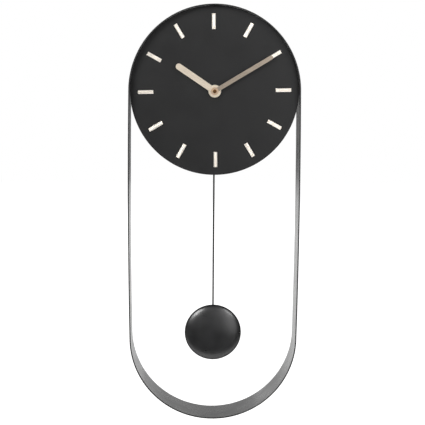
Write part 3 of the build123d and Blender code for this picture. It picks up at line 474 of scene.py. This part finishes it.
class ClockSizes(bpy.types.PropertyGroup):
    """Sizes of the details that the frame doesn't hold."""
    band_wall: length_setting("Band wall", "Thickness of the steel strip", 1.5 * MM)
    band_edge: length_setting("Band edge", "Rounding of the strip's long edges", 0.2 * MM)
    dial_edge: length_setting("Dial edge", "Rounding of the dial's front edge", 0.3 * MM)
    dial_lip: length_setting("Dial lip", "Flat ring inside that rounding", 1.2 * MM)
    mark_length: length_setting("Mark length", "Length of each hour mark", 17.8 * MM)
    mark_width: length_setting("Mark width", "Width of each hour mark", 4.4 * MM)
    mark_reach: length_setting("Mark reach", "From the axis to a mark's outer end", 89 * MM)
    mark_bevel: length_setting("Mark bevel", "Bevel along each hour mark", 0.4 * MM)
    mark_groove: length_setting("Mark groove", "Width of the groove in each hour mark", 0.9 * MM)
    mark_groove_depth: length_setting("Mark groove depth", "Depth of that groove", 0.6 * MM)
    mark_foot: length_setting("Mark foot", "Radius of a mark's feet", 0.5 * MM)
    mark_foot_inset: length_setting("Foot inset", "From a mark's end to its foot", 3.5 * MM)
    hour_hand_length: length_setting("Hour hand", "From the axis to the tip", 53.8 * MM)
    hour_hand_width: length_setting("Hour hand width", "Width of the blade", 7.2 * MM)
    hour_hub: length_setting("Hour hub", "Radius of the hour hand's hub", 7.3 * MM)
    hour_bore: length_setting("Hour bore", "Radius of the hour hand's hole", 2.5 * MM)
    minute_hand_length: length_setting("Minute hand", "From the axis to the tip", 78.0 * MM)
    minute_hand_width: length_setting("Minute hand width", "Width of the blade", 4.9 * MM)
    minute_hub: length_setting("Minute hub", "Radius of the minute hand's hub", 4.4 * MM)
    minute_bore: length_setting("Minute bore", "Radius of the minute hand's hole", 1.2 * MM)
    hand_sheet: length_setting("Hand sheet", "Thickness of both hands", 0.7 * MM)
    time_minutes: bpy.props.FloatProperty(
        name="Time", description="Minutes after twelve that the hands show", default=610.0
    )
    bob_sheet: length_setting("Bob sheet", "Thickness of the bob's shell", 0.8 * MM)
    bob_side: length_setting("Bob side", "Straight side behind the bob's domed face", 0.8 * MM)


class ClockFinishes(bpy.types.PropertyGroup):
    """Colours of the finishes."""
    band: colour_setting("Band", "Satin black lacquer on the strip", (0.012, 0.012, 0.012))
    dial: colour_setting("Dial", "Matt black powder coat", (0.005, 0.005, 0.0052))
    marks: colour_setting("Hour marks", "Pale champagne metal", (0.95, 0.88, 0.8))
    hour_hand: colour_setting("Hour hand", "Pale brass", (0.84, 0.74, 0.6))
    # The two hands are one brass. The hour hand's colour is the lit tone. The minute hand's darker,
    # greyer colour is painted shade for the dimmer reflection it catches, not a finish of its own.
    minute_hand: colour_setting("Minute hand", "Brushed grey brass", (0.4, 0.335, 0.27))
    rod: colour_setting("Pendulum rod", "Black lacquer", (0.008, 0.008, 0.008))
    bob: colour_setting("Bob", "Satin black lacquer", (0.008, 0.008, 0.0084))
    brackets: colour_setting("Brackets", "Black powder coat", (0.02, 0.02, 0.021))
    fixings: colour_setting("Fixings", "Zinc plate", (0.62, 0.62, 0.6))
    hub: colour_setting("Minute hub", "Warm copper-toned brass", (0.66, 0.48, 0.33))
    cap: colour_setting("Cap", "Dark bronze", (0.16, 0.08, 0.035))
    brass: colour_setting("Brass", "Turned brass", (0.78, 0.58, 0.3))
    case: colour_setting("Movement case", "Black moulded plastic", (0.022, 0.022, 0.023))


class ClockStage(bpy.types.PropertyGroup):
    """Camera, lights and floor."""
    floor_drop: length_setting("Floor drop", "From the clock's foot to the floor", 0.55)
    lens: bpy.props.FloatProperty(
        name="Lens", description="Camera lens, in millimetres", default=98.53, min=10.0
    )
    floor_front: length_setting("Floor front", "How far the floor runs in front of the clock", 0.6)
    floor_back: length_setting("Floor back", "How far the floor runs behind the clock", 6.0)
    floor_side: length_setting("Floor side", "How far the floor runs to each side", 5.0)
    room: bpy.props.FloatProperty(
        name="Room", description="Brightness of the room above the floor", default=0.05, min=0.0
    )


class ClockOperator(bpy.types.Operator):
    """A step that makes one part of the clock."""
    bl_options = {"REGISTER", "UNDO"}

    @property
    def sizes(self):
        return bpy.context.scene.clock_sizes

    @property
    def finishes(self):
        return bpy.context.scene.clock_finishes


# ==== Case, dial and marks

def hour_turn(hour):
    """Matrix that takes a piece from straight up to an hour on the turned dial."""
    return turn_about(HANDS_AXIS, DIAL_TURN + hour * math.pi / 6)


def foot_heights(sizes):
    """Heights of the two feet of a mark that stands straight up."""
    top = AXIS_HEIGHT + sizes.mark_reach
    return top - sizes.mark_foot_inset, top - sizes.mark_length + sizes.mark_foot_inset


class CLOCK_OT_band(ClockOperator):
    """Roll the steel strip into its pill-shaped loop"""
    bl_idname = "clock.band"
    bl_label = "Band"

    segments = 256
    side_cuts = 31

    def execute(self, context):
        low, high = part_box("band")
        arc_radius = high.z - AXIS_HEIGHT
        run = high.z - low.z - 2 * arc_radius
        bow = high.x - arc_radius
        band = disc("steel_band", HANDS_AXIS, arc_radius, self.segments)
        bpy.ops.mesh.delete(type="ONLY_FACE")
        pick(band, "VERT", lambda point: point.co.z < AXIS_HEIGHT)
        bpy.ops.transform.translate(value=(0, 0, -run))

        def long_side(edge):
            start, end = ends(band, edge)
            return abs(start.z - end.z) > run / 2
        pick(band, "EDGE", long_side)
        bpy.ops.mesh.subdivide(number_cuts=self.side_cuts)
        bpy.ops.object.mode_set(mode="OBJECT")
        middle = AXIS_HEIGHT - run / 2
        for point in band.data.vertices:
            along = min(1.0, abs(point.co.z - middle) / (run / 2))
            point.co.x += math.copysign(bow * (1 - along**2), point.co.x)
        open_mesh(band)
        bpy.ops.mesh.extrude_region_move(TRANSFORM_OT_translate={"value": (0, low.y, 0)})
        close_mesh()
        modified(
            band, "SOLIDIFY", thickness=self.sizes.band_wall, offset=-1.0, use_even_offset=True
        )
        eased(band, self.sizes.band_edge, segments=3, angle=60)
        finish = painted(
            "satin_black_band", self.finishes.band, 0.28, peel=1.5 * MM, peel_height=0.002 * MM,
            spread=0.03,
        )
        dress(band, "root", "band_steel", finish, "band", weighted=True)
        return {"FINISHED"}


class CLOCK_OT_dial(ClockOperator):
    """Press the dial and drill it for the marks' feet"""
    bl_idname = "clock.dial"
    bl_label = "Dial"

    hole_share = 0.72

    def execute(self, context):
        edge = self.sizes.dial_edge
        hole = self.hole_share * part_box("centre_bush")[1].x
        lip = DIAL_RADIUS - edge - self.sizes.dial_lip
        rings = [(hole, DIAL_BACK), (lip, DIAL_BACK), (DIAL_RADIUS - edge / 3, DIAL_BACK)]
        rings += [(DIAL_RADIUS, DIAL_BACK - edge / 3)]
        rings += round_over(DIAL_RADIUS, DIAL_FRONT, edge)
        rings += [(lip, DIAL_FRONT), (hole, DIAL_FRONT)]
        dial = turned("dial_plate", HANDS_AXIS, rings, segments=256, through=True)
        drills = []
        for height in foot_heights(self.sizes):
            rings = [(1.15 * self.sizes.mark_foot, place) for place in (0, 2 * DIAL_FRONT)]
            drill = turned("drill", (0, 0, height), rings, segments=12)
            drills += [copied(drill, "drill", hour_turn(hour)) for hour in range(12)]
            bpy.data.objects.remove(drill)
        cut(dial, joined("drills", drills))
        finish = powder_coated("dial_matt_black", self.finishes.dial, 0.42, specular=0.3)
        dress(dial, "root", "dial_black", finish, "dial", weighted=True)
        return {"FINISHED"}


class CLOCK_OT_hour_marks(ClockOperator):
    """Shape one applied hour mark with its feet, and set twelve round the dial"""
    bl_idname = "clock.hour_marks"
    bl_label = "Hour marks"

    def foot(self, height):
        """One foot, swaged over behind the dial."""
        radius = self.sizes.mark_foot
        rings = [(0.6 * radius, DIAL_BACK + 0.4 * MM), (1.7 * radius, DIAL_BACK + 0.25 * MM)]
        rings += [(1.9 * radius, DIAL_BACK), (radius, DIAL_BACK), (radius, DIAL_FRONT - 0.3 * MM)]
        return turned("foot", (0, 0, height), rings, segments=16)

    def execute(self, context):
        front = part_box("hour_mark_12")[0].y
        side = self.sizes.mark_width / 2
        top = AXIS_HEIGHT + self.sizes.mark_reach
        groove = self.sizes.mark_groove / 2
        bar = block(
            "hour_mark", (-side, front, top - self.sizes.mark_length), (side, DIAL_FRONT, top)
        )
        for place in (-groove, 0, groove):
            open_mesh(bar)
            bpy.ops.mesh.bisect(plane_co=(place, 0, 0), plane_no=(1, 0, 0))
            bpy.ops.object.mode_set(mode="OBJECT")
        open_mesh(bar)
        pick(bar, "VERT", lambda point: abs(point.co.x) < NEAR and point.co.y < front + NEAR)
        bpy.ops.transform.translate(value=(0, self.sizes.mark_groove_depth, 0))

        def front_edge(edge):
            start, end = ends(bar, edge)
            long = abs(abs(start.x) - side) < NEAR and abs(start.x - end.x) < NEAR
            return long and max(start.y, end.y) < front + NEAR
        pick(bar, "EDGE", front_edge)
        bpy.ops.mesh.bevel(offset=self.sizes.mark_bevel, segments=1, affect="EDGES")
        close_mesh()
        eased(bar, 0.06 * MM)
        feet = [self.foot(height) for height in foot_heights(self.sizes)]
        bar = joined("hour_mark", [bar, *feet])
        finish = brushed(
            "mark_champagne", self.finishes.marks, 0.38,
            lambda made: around(made, HANDS_AXIS, 0.0035, 14 * MM),
        )
        for hour in range(1, 13):
            mark = copied(bar, f"hour_mark_bar_{hour:02d}", hour_turn(hour))
            dress(mark, "root", "mark_metal", finish, f"hour_mark_{hour:02d}", weighted=True)
        bpy.data.objects.remove(bar)
        return {"FINISHED"}


# ==== Hands

class CLOCK_OT_hands(ClockOperator):
    """Stamp both hands with their hubs and set them to the time"""
    bl_idname = "clock.hands"
    bl_label = "Hands"

    def shape(self, name, body, length, width, hub_radius, bore):
        """One hand pointing straight up: a blade with round ends and a stepped hub."""
        low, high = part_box(body + "_hand")
        back = high.y
        blade = disc(name, (0, back, AXIS_HEIGHT), width / 2, 48)
        pick(blade, "VERT", lambda point: point.co.z > AXIS_HEIGHT)
        bpy.ops.transform.translate(value=(0, 0, length - width / 2))
        pick(blade, "VERT", lambda point: True)
        bpy.ops.mesh.extrude_region_move(
            TRANSFORM_OT_translate={"value": (0, -self.sizes.hand_sheet, 0)}
        )
        close_mesh()
        step = 0.12 * MM
        rings = [(hub_radius, back), (hub_radius, low.y + step), (hub_radius - step, low.y)]
        rings += [(bore + 3 * step, low.y), (bore + 2 * step, low.y + step)]
        cut(blade, turned("hub", HANDS_AXIS, rings, 64), "UNION")
        cut(blade, turned("bore", HANDS_AXIS, [(bore, 0), (bore, 2 * low.y)], 48))
        return eased(blade, 0.08 * MM)

    def hand(self, body, colour, degrees_a_minute, *measures):
        """One brushed hand, turned to the time and riding its body."""
        name = body + "_hand_blade"
        pattern = self.shape("hand_pattern", body, *measures)
        angle = DIAL_TURN + math.radians(degrees_a_minute * self.sizes.time_minutes)
        hand = copied(pattern, name, turn_about(HANDS_AXIS, angle))
        bpy.data.objects.remove(pattern)
        finish = brushed(
            body + "_hand_brass", colour, 0.34,
            lambda made: straight(made, (0.2 * MM, 0.2 * MM, 9 * MM), HANDS_AXIS, angle),
        )
        return dress(hand, body, "hand_brass", finish, body + "_hand", weighted=True)

    def execute(self, context):
        sizes = self.sizes
        self.hand(
            "hour", self.finishes.hour_hand, 0.5, sizes.hour_hand_length, sizes.hour_hand_width,
            sizes.hour_hub, sizes.hour_bore,
        )
        # The minute hand's colour is painted shade: the hour hand's brass, darkened.
        hand = self.hand(
            "minute", self.finishes.minute_hand, 6, sizes.minute_hand_length,
            sizes.minute_hand_width, sizes.minute_hub, sizes.minute_bore,
        )
        hand.data.materials.append(
            machined("minute_hub_copper", self.finishes.hub, 0.34, HANDS_AXIS)
        )
        for face in hand.data.polygons:
            reach = Vector((face.center.x, 0, face.center.z - AXIS_HEIGHT)).length
            face.material_index = int(reach < sizes.minute_hub)
        return {"FINISHED"}


class CLOCK_OT_centre_cap(ClockOperator):
    """Turn the small domed cap that holds the minute hand"""
    bl_idname = "clock.centre_cap"
    bl_label = "Centre cap"

    def execute(self, context):
        low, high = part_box("centre_cap")
        radius = high.x
        dimple = 1.1 * MM
        rings = [(radius - 0.2 * MM, high.y), (radius, high.y - 0.2 * MM)]
        rings += round_over(radius, low.y, 0.7 * MM, steps=6)
        rings += [(dimple + 0.1 * MM, low.y), (dimple, low.y + 0.1 * MM)]
        rings += [(dimple - 0.15 * MM, low.y + 0.5 * MM)]
        cap = turned("hand_cap", HANDS_AXIS, rings, 48)
        finish = machined("cap_bronze", self.finishes.cap, 0.3, HANDS_AXIS)
        dress(cap, "minute", "brass", finish, "centre_cap")
        return {"FINISHED"}


# ==== Fixings

def hex_nut(name, centre, back, front, flats, bore):
    """A hexagon nut with chamfered corners and a countersunk bore."""
    corner = flats / math.sqrt(3)
    rise = (corner - flats / 2) * math.tan(math.radians(30))
    prism = disc(name, (centre[0], back, centre[1]), corner, 6)
    bpy.ops.mesh.extrude_region_move(TRANSFORM_OT_translate={"value": (0, front - back, 0)})
    close_mesh()
    place = (centre[0], 0, centre[1])
    rings = [(flats / 2, back), (corner, back - rise), (corner, front + rise), (flats / 2, front)]
    cut(prism, turned("crown", place, rings, 48), "INTERSECT")
    lead = 0.1 * bore
    rings = [(bore + lead, back + NEAR), (bore, back - lead), (bore, front + lead)]
    rings += [(bore + lead, front - NEAR)]
    return cut(prism, turned("tap", place, rings, 32))


def washer(name, centre, back, front, radius, bore):
    """A flat washer with eased edges."""
    ease = 0.12 * (back - front)
    rings = [(bore, back), (radius - ease, back), (radius, back - ease), (radius, front + ease)]
    rings += [(radius - ease, front), (bore, front)]
    return turned(name, (centre[0], 0, centre[1]), rings, 48, through=True)


def threaded(name, centre, back, front, radius, pitch):
    """A threaded stem, its thread as close grooves."""
    depth = 0.3 * pitch
    count = max(2, int((back - front) / pitch))
    step = (back - front) / count
    rings = [(radius - 2 * depth, back)]
    for turn in range(count):
        rings.append((radius, back - (turn + 0.5) * step))
        rings.append((radius - depth, back - (turn + 1) * step))
    return turned(name, (centre[0], 0, centre[1]), rings, 24)


def pan_screw(name, centre, seat, head_radius, head_height, radius, length):
    """A pan-head screw with a cross recess, its head behind the seat."""
    place = (centre[0], 0, centre[1])
    ease = 0.55 * head_height
    top = seat + head_height
    rings = [(0.35 * head_radius, top), (head_radius - 1.2 * ease, top - 0.15 * ease)]
    rings += [(head_radius - 0.4 * ease, top - 0.6 * ease), (head_radius, top - 1.3 * ease)]
    rings += [(head_radius, seat), (radius, seat), (radius, seat - length + radius)]
    rings += [(0.3 * radius, seat - length)]
    screw = turned(name, place, rings, 32)
    for width, height in ((0.16, 0.62), (0.62, 0.16)):
        reach = Vector((width * head_radius, 0, height * head_radius))
        low = Vector(place) - reach + Vector((0, top - 0.6 * head_height, 0))
        high = Vector(place) + reach + Vector((0, top + head_height, 0))
        cut(screw, block("recess", low, high))
    return screw


def solids_of(node_name):
    """Boxes of the separate solids in a frame node, found from its merged mesh."""
    probe = bpy.data.objects.new("probe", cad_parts[node_name].data.copy())
    bpy.context.scene.collection.objects.link(probe)
    open_mesh(probe)
    bpy.ops.mesh.remove_doubles(threshold=0.001 * MM)
    bpy.ops.mesh.separate(type="LOOSE")
    bpy.ops.object.mode_set(mode="OBJECT")
    boxes = []
    for part in list(bpy.context.selected_objects):
        points = [point.co for point in part.data.vertices]
        low = Vector([min(point[axis] for point in points) for axis in range(3)])
        high = Vector([max(point[axis] for point in points) for axis in range(3)])
        boxes.append((low, high))
        bpy.data.objects.remove(part)
    return boxes


def middle_of(box):
    """Middle of a box, as (x, z)."""
    middle = (box[0] + box[1]) / 2
    return middle.x, middle.z


class CLOCK_OT_fixings(ClockOperator):
    """Make the dial's studs, washers and nuts and the centre fixing"""
    bl_idname = "clock.fixings"
    bl_label = "Fixings"

    stud_pitch = 0.5 * MM
    stud_washer_radius = 3.2 * MM
    stud_nut_flats = 5.5 * MM
    centre_washer_bore = 4.06 * MM
    centre_nut_flats = 11 * MM
    centre_nut_bore = 4.03 * MM

    def execute(self, context):
        zinc = plated("zinc_plate", self.finishes.fixings, 0.34)
        brass = machined("bush_brass", self.finishes.brass, 0.28, HANDS_AXIS)
        washer_low, washer_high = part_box("stud_washers")
        nut_low, nut_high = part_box("stud_nuts")
        studs, washers, nuts = [], [], []
        for low, high in solids_of("dial_studs"):
            centre = middle_of((low, high))
            radius = (high.x - low.x) / 2
            studs.append(threaded("stud", centre, high.y, low.y, radius, self.stud_pitch))
            washers.append(washer(
                "washer", centre, washer_high.y, washer_low.y, self.stud_washer_radius,
                1.04 * radius,
            ))
            nuts.append(hex_nut(
                "nut", centre, nut_high.y, nut_low.y, self.stud_nut_flats, 1.02 * radius
            ))
        for name, parts, node_name in (
            ("weld_studs", studs, "dial_studs"),
            ("stud_washer_set", washers, "stud_washers"),
            ("stud_nut_set", nuts, "stud_nuts"),
        ):
            dress(joined(name, parts), "root", "fixing_steel", zinc, node_name, weighted=True)
        middle = (0, AXIS_HEIGHT)
        low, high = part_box("bush_washer")
        piece = washer(
            "centre_washer", middle, high.y, low.y, high.x, self.centre_washer_bore
        )
        dress(piece, "root", "fixing_steel", zinc, "bush_washer")
        low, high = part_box("bush_nut")
        piece = hex_nut(
            "centre_nut", middle, high.y, low.y, self.centre_nut_flats, self.centre_nut_bore
        )
        dress(piece, "root", "brass", brass, "bush_nut", weighted=True)
        return {"FINISHED"}


class CLOCK_OT_brackets(ClockOperator):
    """Fold the three brackets and the hanger bar"""
    bl_idname = "clock.brackets"
    bl_label = "Brackets and hanger"

    def execute(self, context):
        black = powder_coated("bracket_powder_coat", self.finishes.brackets, 0.5)
        for side in ("right", "top", "left"):
            piece = refined(f"bracket_{side}_folded", f"bracket_{side}", 0.15 * MM)
            dress(piece, "root", "bracket_steel", black, f"bracket_{side}", weighted=True)
        piece = refined("hanger_strip", "hanger_bar", 0.25 * MM, segments=3)
        dress(piece, "root", "bracket_steel", black, "hanger_bar", weighted=True)
        return {"FINISHED"}


# ==== Movement

class CLOCK_OT_movement(ClockOperator):
    """Mould the movement's case and cover, and drive the cover's screws"""
    bl_idname = "clock.movement"
    bl_label = "Movement case"

    def execute(self, context):
        black = moulded("case_black_plastic", self.finishes.case, 0.48)
        zinc = bpy.data.materials["zinc_plate"]
        case = refined("movement_box", "movement_case", 0.2 * MM)
        dress(case, "root", "case_plastic", black, "movement_case", weighted=True)
        cover = refined("movement_back", "movement_cover", 0.15 * MM)
        dress(cover, "root", "case_plastic", black, "movement_cover", weighted=True)
        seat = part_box("movement_cover")[1].y
        screws = []
        for low, high in solids_of("cover_screws"):
            head = (high.x - low.x) / 2
            screws.append(pan_screw(
                "screw", middle_of((low, high)), seat, head, high.y - seat, 0.8 * MM,
                seat - low.y,
            ))
        screws = joined("cover_screw_set", screws)
        dress(screws, "root", "fixing_steel", zinc, "cover_screws", weighted=True)
        return {"FINISHED"}


class CLOCK_OT_setting_knob(ClockOperator):
    """Mould the knob that sets the hands"""
    bl_idname = "clock.setting_knob"
    bl_label = "Setting knob"

    def execute(self, context):
        knob = refined("setting_wheel", "setting_knob", 0.08 * MM)
        finish = moulded("knob_grey_plastic", (0.35, 0.35, 0.34), 0.42)
        dress(knob, "knob", "gear_plastic", finish, "setting_knob", weighted=True)
        return {"FINISHED"}


class CLOCK_OT_battery(ClockOperator):
    """Make the battery in its plain jacket, and its contacts"""
    bl_idname = "clock.battery"
    bl_label = "Battery"

    def execute(self, context):
        low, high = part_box("battery")
        centre = (low + high) / 2
        radius = (high.z - low.z) / 2
        body_end = high.x - 1.0 * MM
        nub = 2.75 * MM
        lip = 0.5 * MM
        rings = [(radius - 3 * MM, low.x + 0.3 * MM), (radius - 1.6 * MM, low.x + 0.3 * MM)]
        rings += [(radius - 1.3 * MM, low.x), (radius - lip, low.x), (radius, low.x + lip)]
        rings += [(radius, body_end - lip), (radius - lip, body_end)]
        rings += [(radius - 2.2 * MM, body_end - 0.1 * MM), (nub + 0.6 * MM, body_end - 0.1 * MM)]
        rings += [(nub, body_end + 0.2 * MM), (nub, high.x - 0.2 * MM), (nub - 0.3 * MM, high.x)]
        battery = turned("battery_cell", centre, rings, 64, axis=0)
        jacket = painted("battery_jacket", (0.05, 0.06, 0.075), 0.25, coat=0.5)
        metal = plated("battery_ends", (0.72, 0.72, 0.7), 0.25)
        dress(battery, "root", "battery_jacket", jacket, "battery")
        battery.data.materials.append(metal)
        for face in battery.data.polygons:
            reach = Vector((0, face.center.y - centre.y, face.center.z - centre.z)).length
            face.material_index = int(reach < radius - lip)
        spring = plated("contact_plate", (0.75, 0.74, 0.7), 0.3)
        for side in ("positive", "negative"):
            piece = refined(f"battery_contact_{side}", f"contact_{side}", 0.08 * MM)
            dress(piece, "root", "fixing_steel", spring, f"contact_{side}", weighted=True)
        return {"FINISHED"}


class CLOCK_OT_inner_works(ClockOperator):
    """Finish the works inside the case"""
    bl_idname = "clock.inner_works"
    bl_label = "Inner works"

    def execute(self, context):
        acetal = moulded("acetal_white", (0.8, 0.79, 0.74), 0.4, texture=0.2 * MM)
        brass = plated("works_brass", self.finishes.brass, 0.3)
        rubber = moulded("gasket_rubber", (0.02, 0.02, 0.02), 0.8, texture=0.15 * MM)
        iron = plated("stator_iron", (0.42, 0.42, 0.44), 0.4)
        magnet = plated("magnet_nickel", (0.7, 0.7, 0.71), 0.2)
        copper = wound("copper_winding", (0.78, 0.33, 0.14), 0.3)
        board = painted("board_green", (0.03, 0.16, 0.07), 0.35)
        chip = moulded("chip_resin", (0.012, 0.012, 0.012), 0.3)
        steel = bpy.data.materials["zinc_plate"]
        worn = {
            acetal: (
                "gear_bridge", "hour_wheel", "minute_wheel", "centre_wheel", "third_wheel",
                "fourth_wheel", "fifth_wheel", "rotor", "pendulum_leader",
            ),
            brass: ("cannon_pinion", "centre_bush"),
            rubber: ("dial_gasket",),
            iron: ("stator",),
            magnet: ("drive_magnet", "quartz_crystal"),
            copper: ("motor_coil", "pendulum_coil"),
            board: ("circuit_board",),
            chip: ("timing_chip",),
            steel: ("bridge_screws", "pivot_pin"),
        }
        for finish, nodes in worn.items():
            for name in nodes:
                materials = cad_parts[name].data.materials
                materials.clear()
                materials.append(finish)
        return {"FINISHED"}


# ==== Pendulum

class CLOCK_OT_pendulum_rod(ClockOperator):
    """Bend the wire rod with its hanging ring"""
    bl_idname = "clock.pendulum_rod"
    bl_label = "Pendulum rod"

    def execute(self, context):
        low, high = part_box("pendulum_rod")
        depth = (low.y + high.y) / 2
        radius = (high.y - low.y) / 2
        ring = high.x - radius
        ring_height = high.z - high.x
        rings = [(0.5 * radius, low.z), (0.85 * radius, low.z + 0.2 * radius)]
        rings += [(radius, low.z + 0.6 * radius), (radius, ring_height - ring)]
        rod = turned("rod_wire", (0, depth, 0), rings, 24, axis=2)
        bpy.ops.object.select_all(action="DESELECT")
        bpy.ops.mesh.primitive_torus_add(
            major_radius=ring, minor_radius=radius, major_segments=48, minor_segments=24,
            location=(0, depth, ring_height), rotation=(QUARTER, 0, 0),
        )
        eye = settle(bpy.context.object)
        cut(rod, eye, "UNION")
        finish = painted(
            "rod_black_lacquer", self.finishes.rod, 0.5, peel=0.4 * MM, peel_height=0.001 * MM,
            specular=0.25,
        )
        dress(rod, "pendulum", "rod_black", finish, "pendulum_rod")
        return {"FINISHED"}


def dome_rings(radius, back, height, side, steps):
    """Rings of a lens-shaped dome, from its straight side to its crown, along -Y."""
    rings = [(radius, back - side)]
    for step in range(1, steps + 1):
        angle = QUARTER * step / steps
        reach = max(radius * math.cos(angle), 0.2 * MM)
        rings.append((reach, back - side - (height - side) * math.sin(angle)))
    return rings


class CLOCK_OT_bob(ClockOperator):
    """Press the bob's shell, its back plate and the clip that holds the rod"""
    bl_idname = "clock.bob"
    bl_label = "Bob"

    def execute(self, context):
        low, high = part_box("bob_shell")
        radius = high.x
        back = high.y
        height = high.y - low.y
        sheet = self.sizes.bob_sheet
        side = self.sizes.bob_side
        centre = (0, 0, (low.z + high.z) / 2)
        inner = dome_rings(radius - sheet, back, height - sheet, side, 16)
        outer = dome_rings(radius, back, height, side, 40)
        rings = list(reversed(inner)) + [(radius - sheet, back), (radius - 0.1 * MM, back)]
        rings += [(radius, back - 0.1 * MM)] + outer
        shell = turned("bob_dome", centre, rings, 128)
        finish = painted("bob_black_lacquer", self.finishes.bob, 0.32)
        dress(shell, "pendulum", "bob_black", finish, "bob_shell")

        low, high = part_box("bob_back")
        edge = high.x
        inside = edge - 4 * MM
        step = 0.3 * MM
        rings = [(inside, high.y - step), (edge - 3.4 * MM, high.y), (edge - step, high.y)]
        rings += [(edge, high.y - step), (edge, low.y), (inside, low.y)]
        plate = turned("bob_back_plate", centre, rings, 96)
        dress(plate, "pendulum", "bob_black", finish, "bob_back")
        clip = refined("bob_clip_folded", "bob_clip", 0.2 * MM, segments=3)
        dress(clip, "pendulum", "bob_black", finish, "bob_clip", weighted=True)
        return {"FINISHED"}


# ==== Stage

class CLOCK_OT_stage(ClockOperator):
    """Lay the floor, light it softly and place the camera"""
    bl_idname = "clock.stage"
    bl_label = "Stage"

    camera_place = (-31.39 * MM, -1394.1 * MM, 18.06 * MM)
    camera_pitch = -0.163
    camera_yaw = -0.022
    camera_roll = -0.007
    light_aim = Vector((0, 0, -0.2))
    # Name, place, width, height and power of each light. The panels behind the clock are what
    # the strip's lacquer mirrors towards the camera, and the soft boxes edge the bob.
    lights = (
        ("soft_box_left", (-1.25, -1.49, 0.74), 0.9, 0.9, 60),
        ("soft_box_right", (1.2, -1.4, 0.74), 0.8, 0.8, 22),
        ("side_panel", (0.55, -1.0, -0.2), 0.5, 0.8, 4),
        ("front_panel", (-0.3, -3.2, 0.6), 4.0, 3.0, 17),
        ("back_panel", (-0.3, 5.0, 0.85), 3.4, 1.7, 20),
        ("back_panel_left", (-2.1, 4.6, -0.1), 1.8, 1.5, 11),
        ("back_panel_right", (1.9, 4.6, -0.1), 1.9, 1.5, 9),
    )

    def camera(self, settings):
        """A long lens in front of the clock, a little above and to its left."""
        data = bpy.data.cameras.new("camera")
        data.lens = settings.lens
        data.sensor_width = 36.0
        data.clip_end = 100.0
        camera = bpy.data.objects.new("camera", data)
        bpy.context.scene.collection.objects.link(camera)
        turn = Matrix.Rotation(self.camera_yaw, 4, "Z") @ Matrix.Rotation(self.camera_pitch, 4, "X")
        turn = turn @ Matrix.Rotation(self.camera_roll, 4, "Y") @ Matrix.Rotation(QUARTER, 4, "X")
        camera.matrix_world = Matrix.Translation(self.camera_place) @ turn
        bpy.context.scene.camera = camera

    def floor(self, settings):
        """A wide pale floor that runs up into the white of the room."""
        level = cad_low.z - settings.floor_drop
        side = settings.floor_side
        low = (-side, -settings.floor_front, level - 0.02)
        floor = block("floor", low, (side, settings.floor_back, level))
        finish = new_finish("floor_white", (0.92, 0.92, 0.92), 0.9, specular=0.0)
        shader = principled(finish)
        shader.inputs["Emission Color"].default_value = (1, 1, 1, 1)
        shader.inputs["Emission Strength"].default_value = 0.95
        floor.data.materials.append(finish)

    def light(self, name, place, width, height, power):
        """A soft box aimed at the clock."""
        data = bpy.data.lights.new(name, "AREA")
        data.shape = "RECTANGLE"
        data.size = width
        data.size_y = height
        data.energy = power
        light = bpy.data.objects.new(name, data)
        light.visible_camera = False
        bpy.context.scene.collection.objects.link(light)
        turn = (self.light_aim - Vector(place)).to_track_quat("-Z", "Y")
        light.matrix_world = Matrix.Translation(place) @ turn.to_matrix().to_4x4()

    def room(self, settings):
        """A dim room round the lit floor, seen as plain white behind the clock."""
        world = bpy.data.worlds.new("room")
        world.use_nodes = True
        bpy.context.scene.world = world
        nodes, links = world.node_tree.nodes, world.node_tree.links
        seen = nodes.new("ShaderNodeLightPath")
        level = nodes.new("ShaderNodeMapRange")
        level.inputs["To Min"].default_value = settings.room
        level.inputs["To Max"].default_value = 1.0
        links.new(seen.outputs["Is Camera Ray"], level.inputs["Value"])
        links.new(level.outputs["Result"], nodes["Background"].inputs["Strength"])
        nodes["Background"].inputs["Color"].default_value = (1, 1, 1, 1)

    def execute(self, context):
        settings = context.scene.clock_stage
        self.camera(settings)
        self.floor(settings)
        self.room(settings)
        for light in self.lights:
            self.light(*light)
        context.scene.view_settings.view_transform = "Standard"
        return {"FINISHED"}


PIECES = (
    CLOCK_OT_band, CLOCK_OT_dial, CLOCK_OT_hour_marks, CLOCK_OT_hands, CLOCK_OT_centre_cap,
    CLOCK_OT_fixings, CLOCK_OT_brackets, CLOCK_OT_movement, CLOCK_OT_setting_knob,
    CLOCK_OT_battery, CLOCK_OT_inner_works, CLOCK_OT_pendulum_rod, CLOCK_OT_bob,
    CLOCK_OT_stage,
)
SETTINGS = {
    "clock_sizes": ClockSizes,
    "clock_finishes": ClockFinishes,
    "clock_stage": ClockStage,
}


class CLOCK_PT_panel(bpy.types.Panel):
    """Sidebar panel with the clock's settings and steps"""
    bl_idname = "CLOCK_PT_panel"
    bl_label = "Pendulum wall clock"
    bl_space_type = "VIEW_3D"
    bl_region_type = "UI"
    bl_category = "Clock"

    def draw(self, context):
        layout = self.layout
        for group in SETTINGS:
            settings = getattr(context.scene, group)
            box = layout.box()
            for setting in settings.__annotations__:
                box.prop(settings, setting)
        for piece in PIECES:
            layout.operator(piece.bl_idname)


def register():
    """Register the settings, the steps and the panel."""
    for group, kind in SETTINGS.items():
        bpy.utils.register_class(kind)
        setattr(bpy.types.Scene, group, bpy.props.PointerProperty(type=kind))
    for kind in (*PIECES, CLOCK_PT_panel):
        bpy.utils.register_class(kind)


def unregister():
    """Undo register."""
    for kind in (CLOCK_PT_panel, *reversed(PIECES)):
        bpy.utils.unregister_class(kind)
    for group, kind in SETTINGS.items():
        delattr(bpy.types.Scene, group)
        bpy.utils.unregister_class(kind)


def main():
    """Make every piece in turn."""
    register()
    for piece in PIECES:
        group, name = piece.bl_idname.split(".")
        getattr(getattr(bpy.ops, group), name)()


if __name__ == "__main__":
    main()
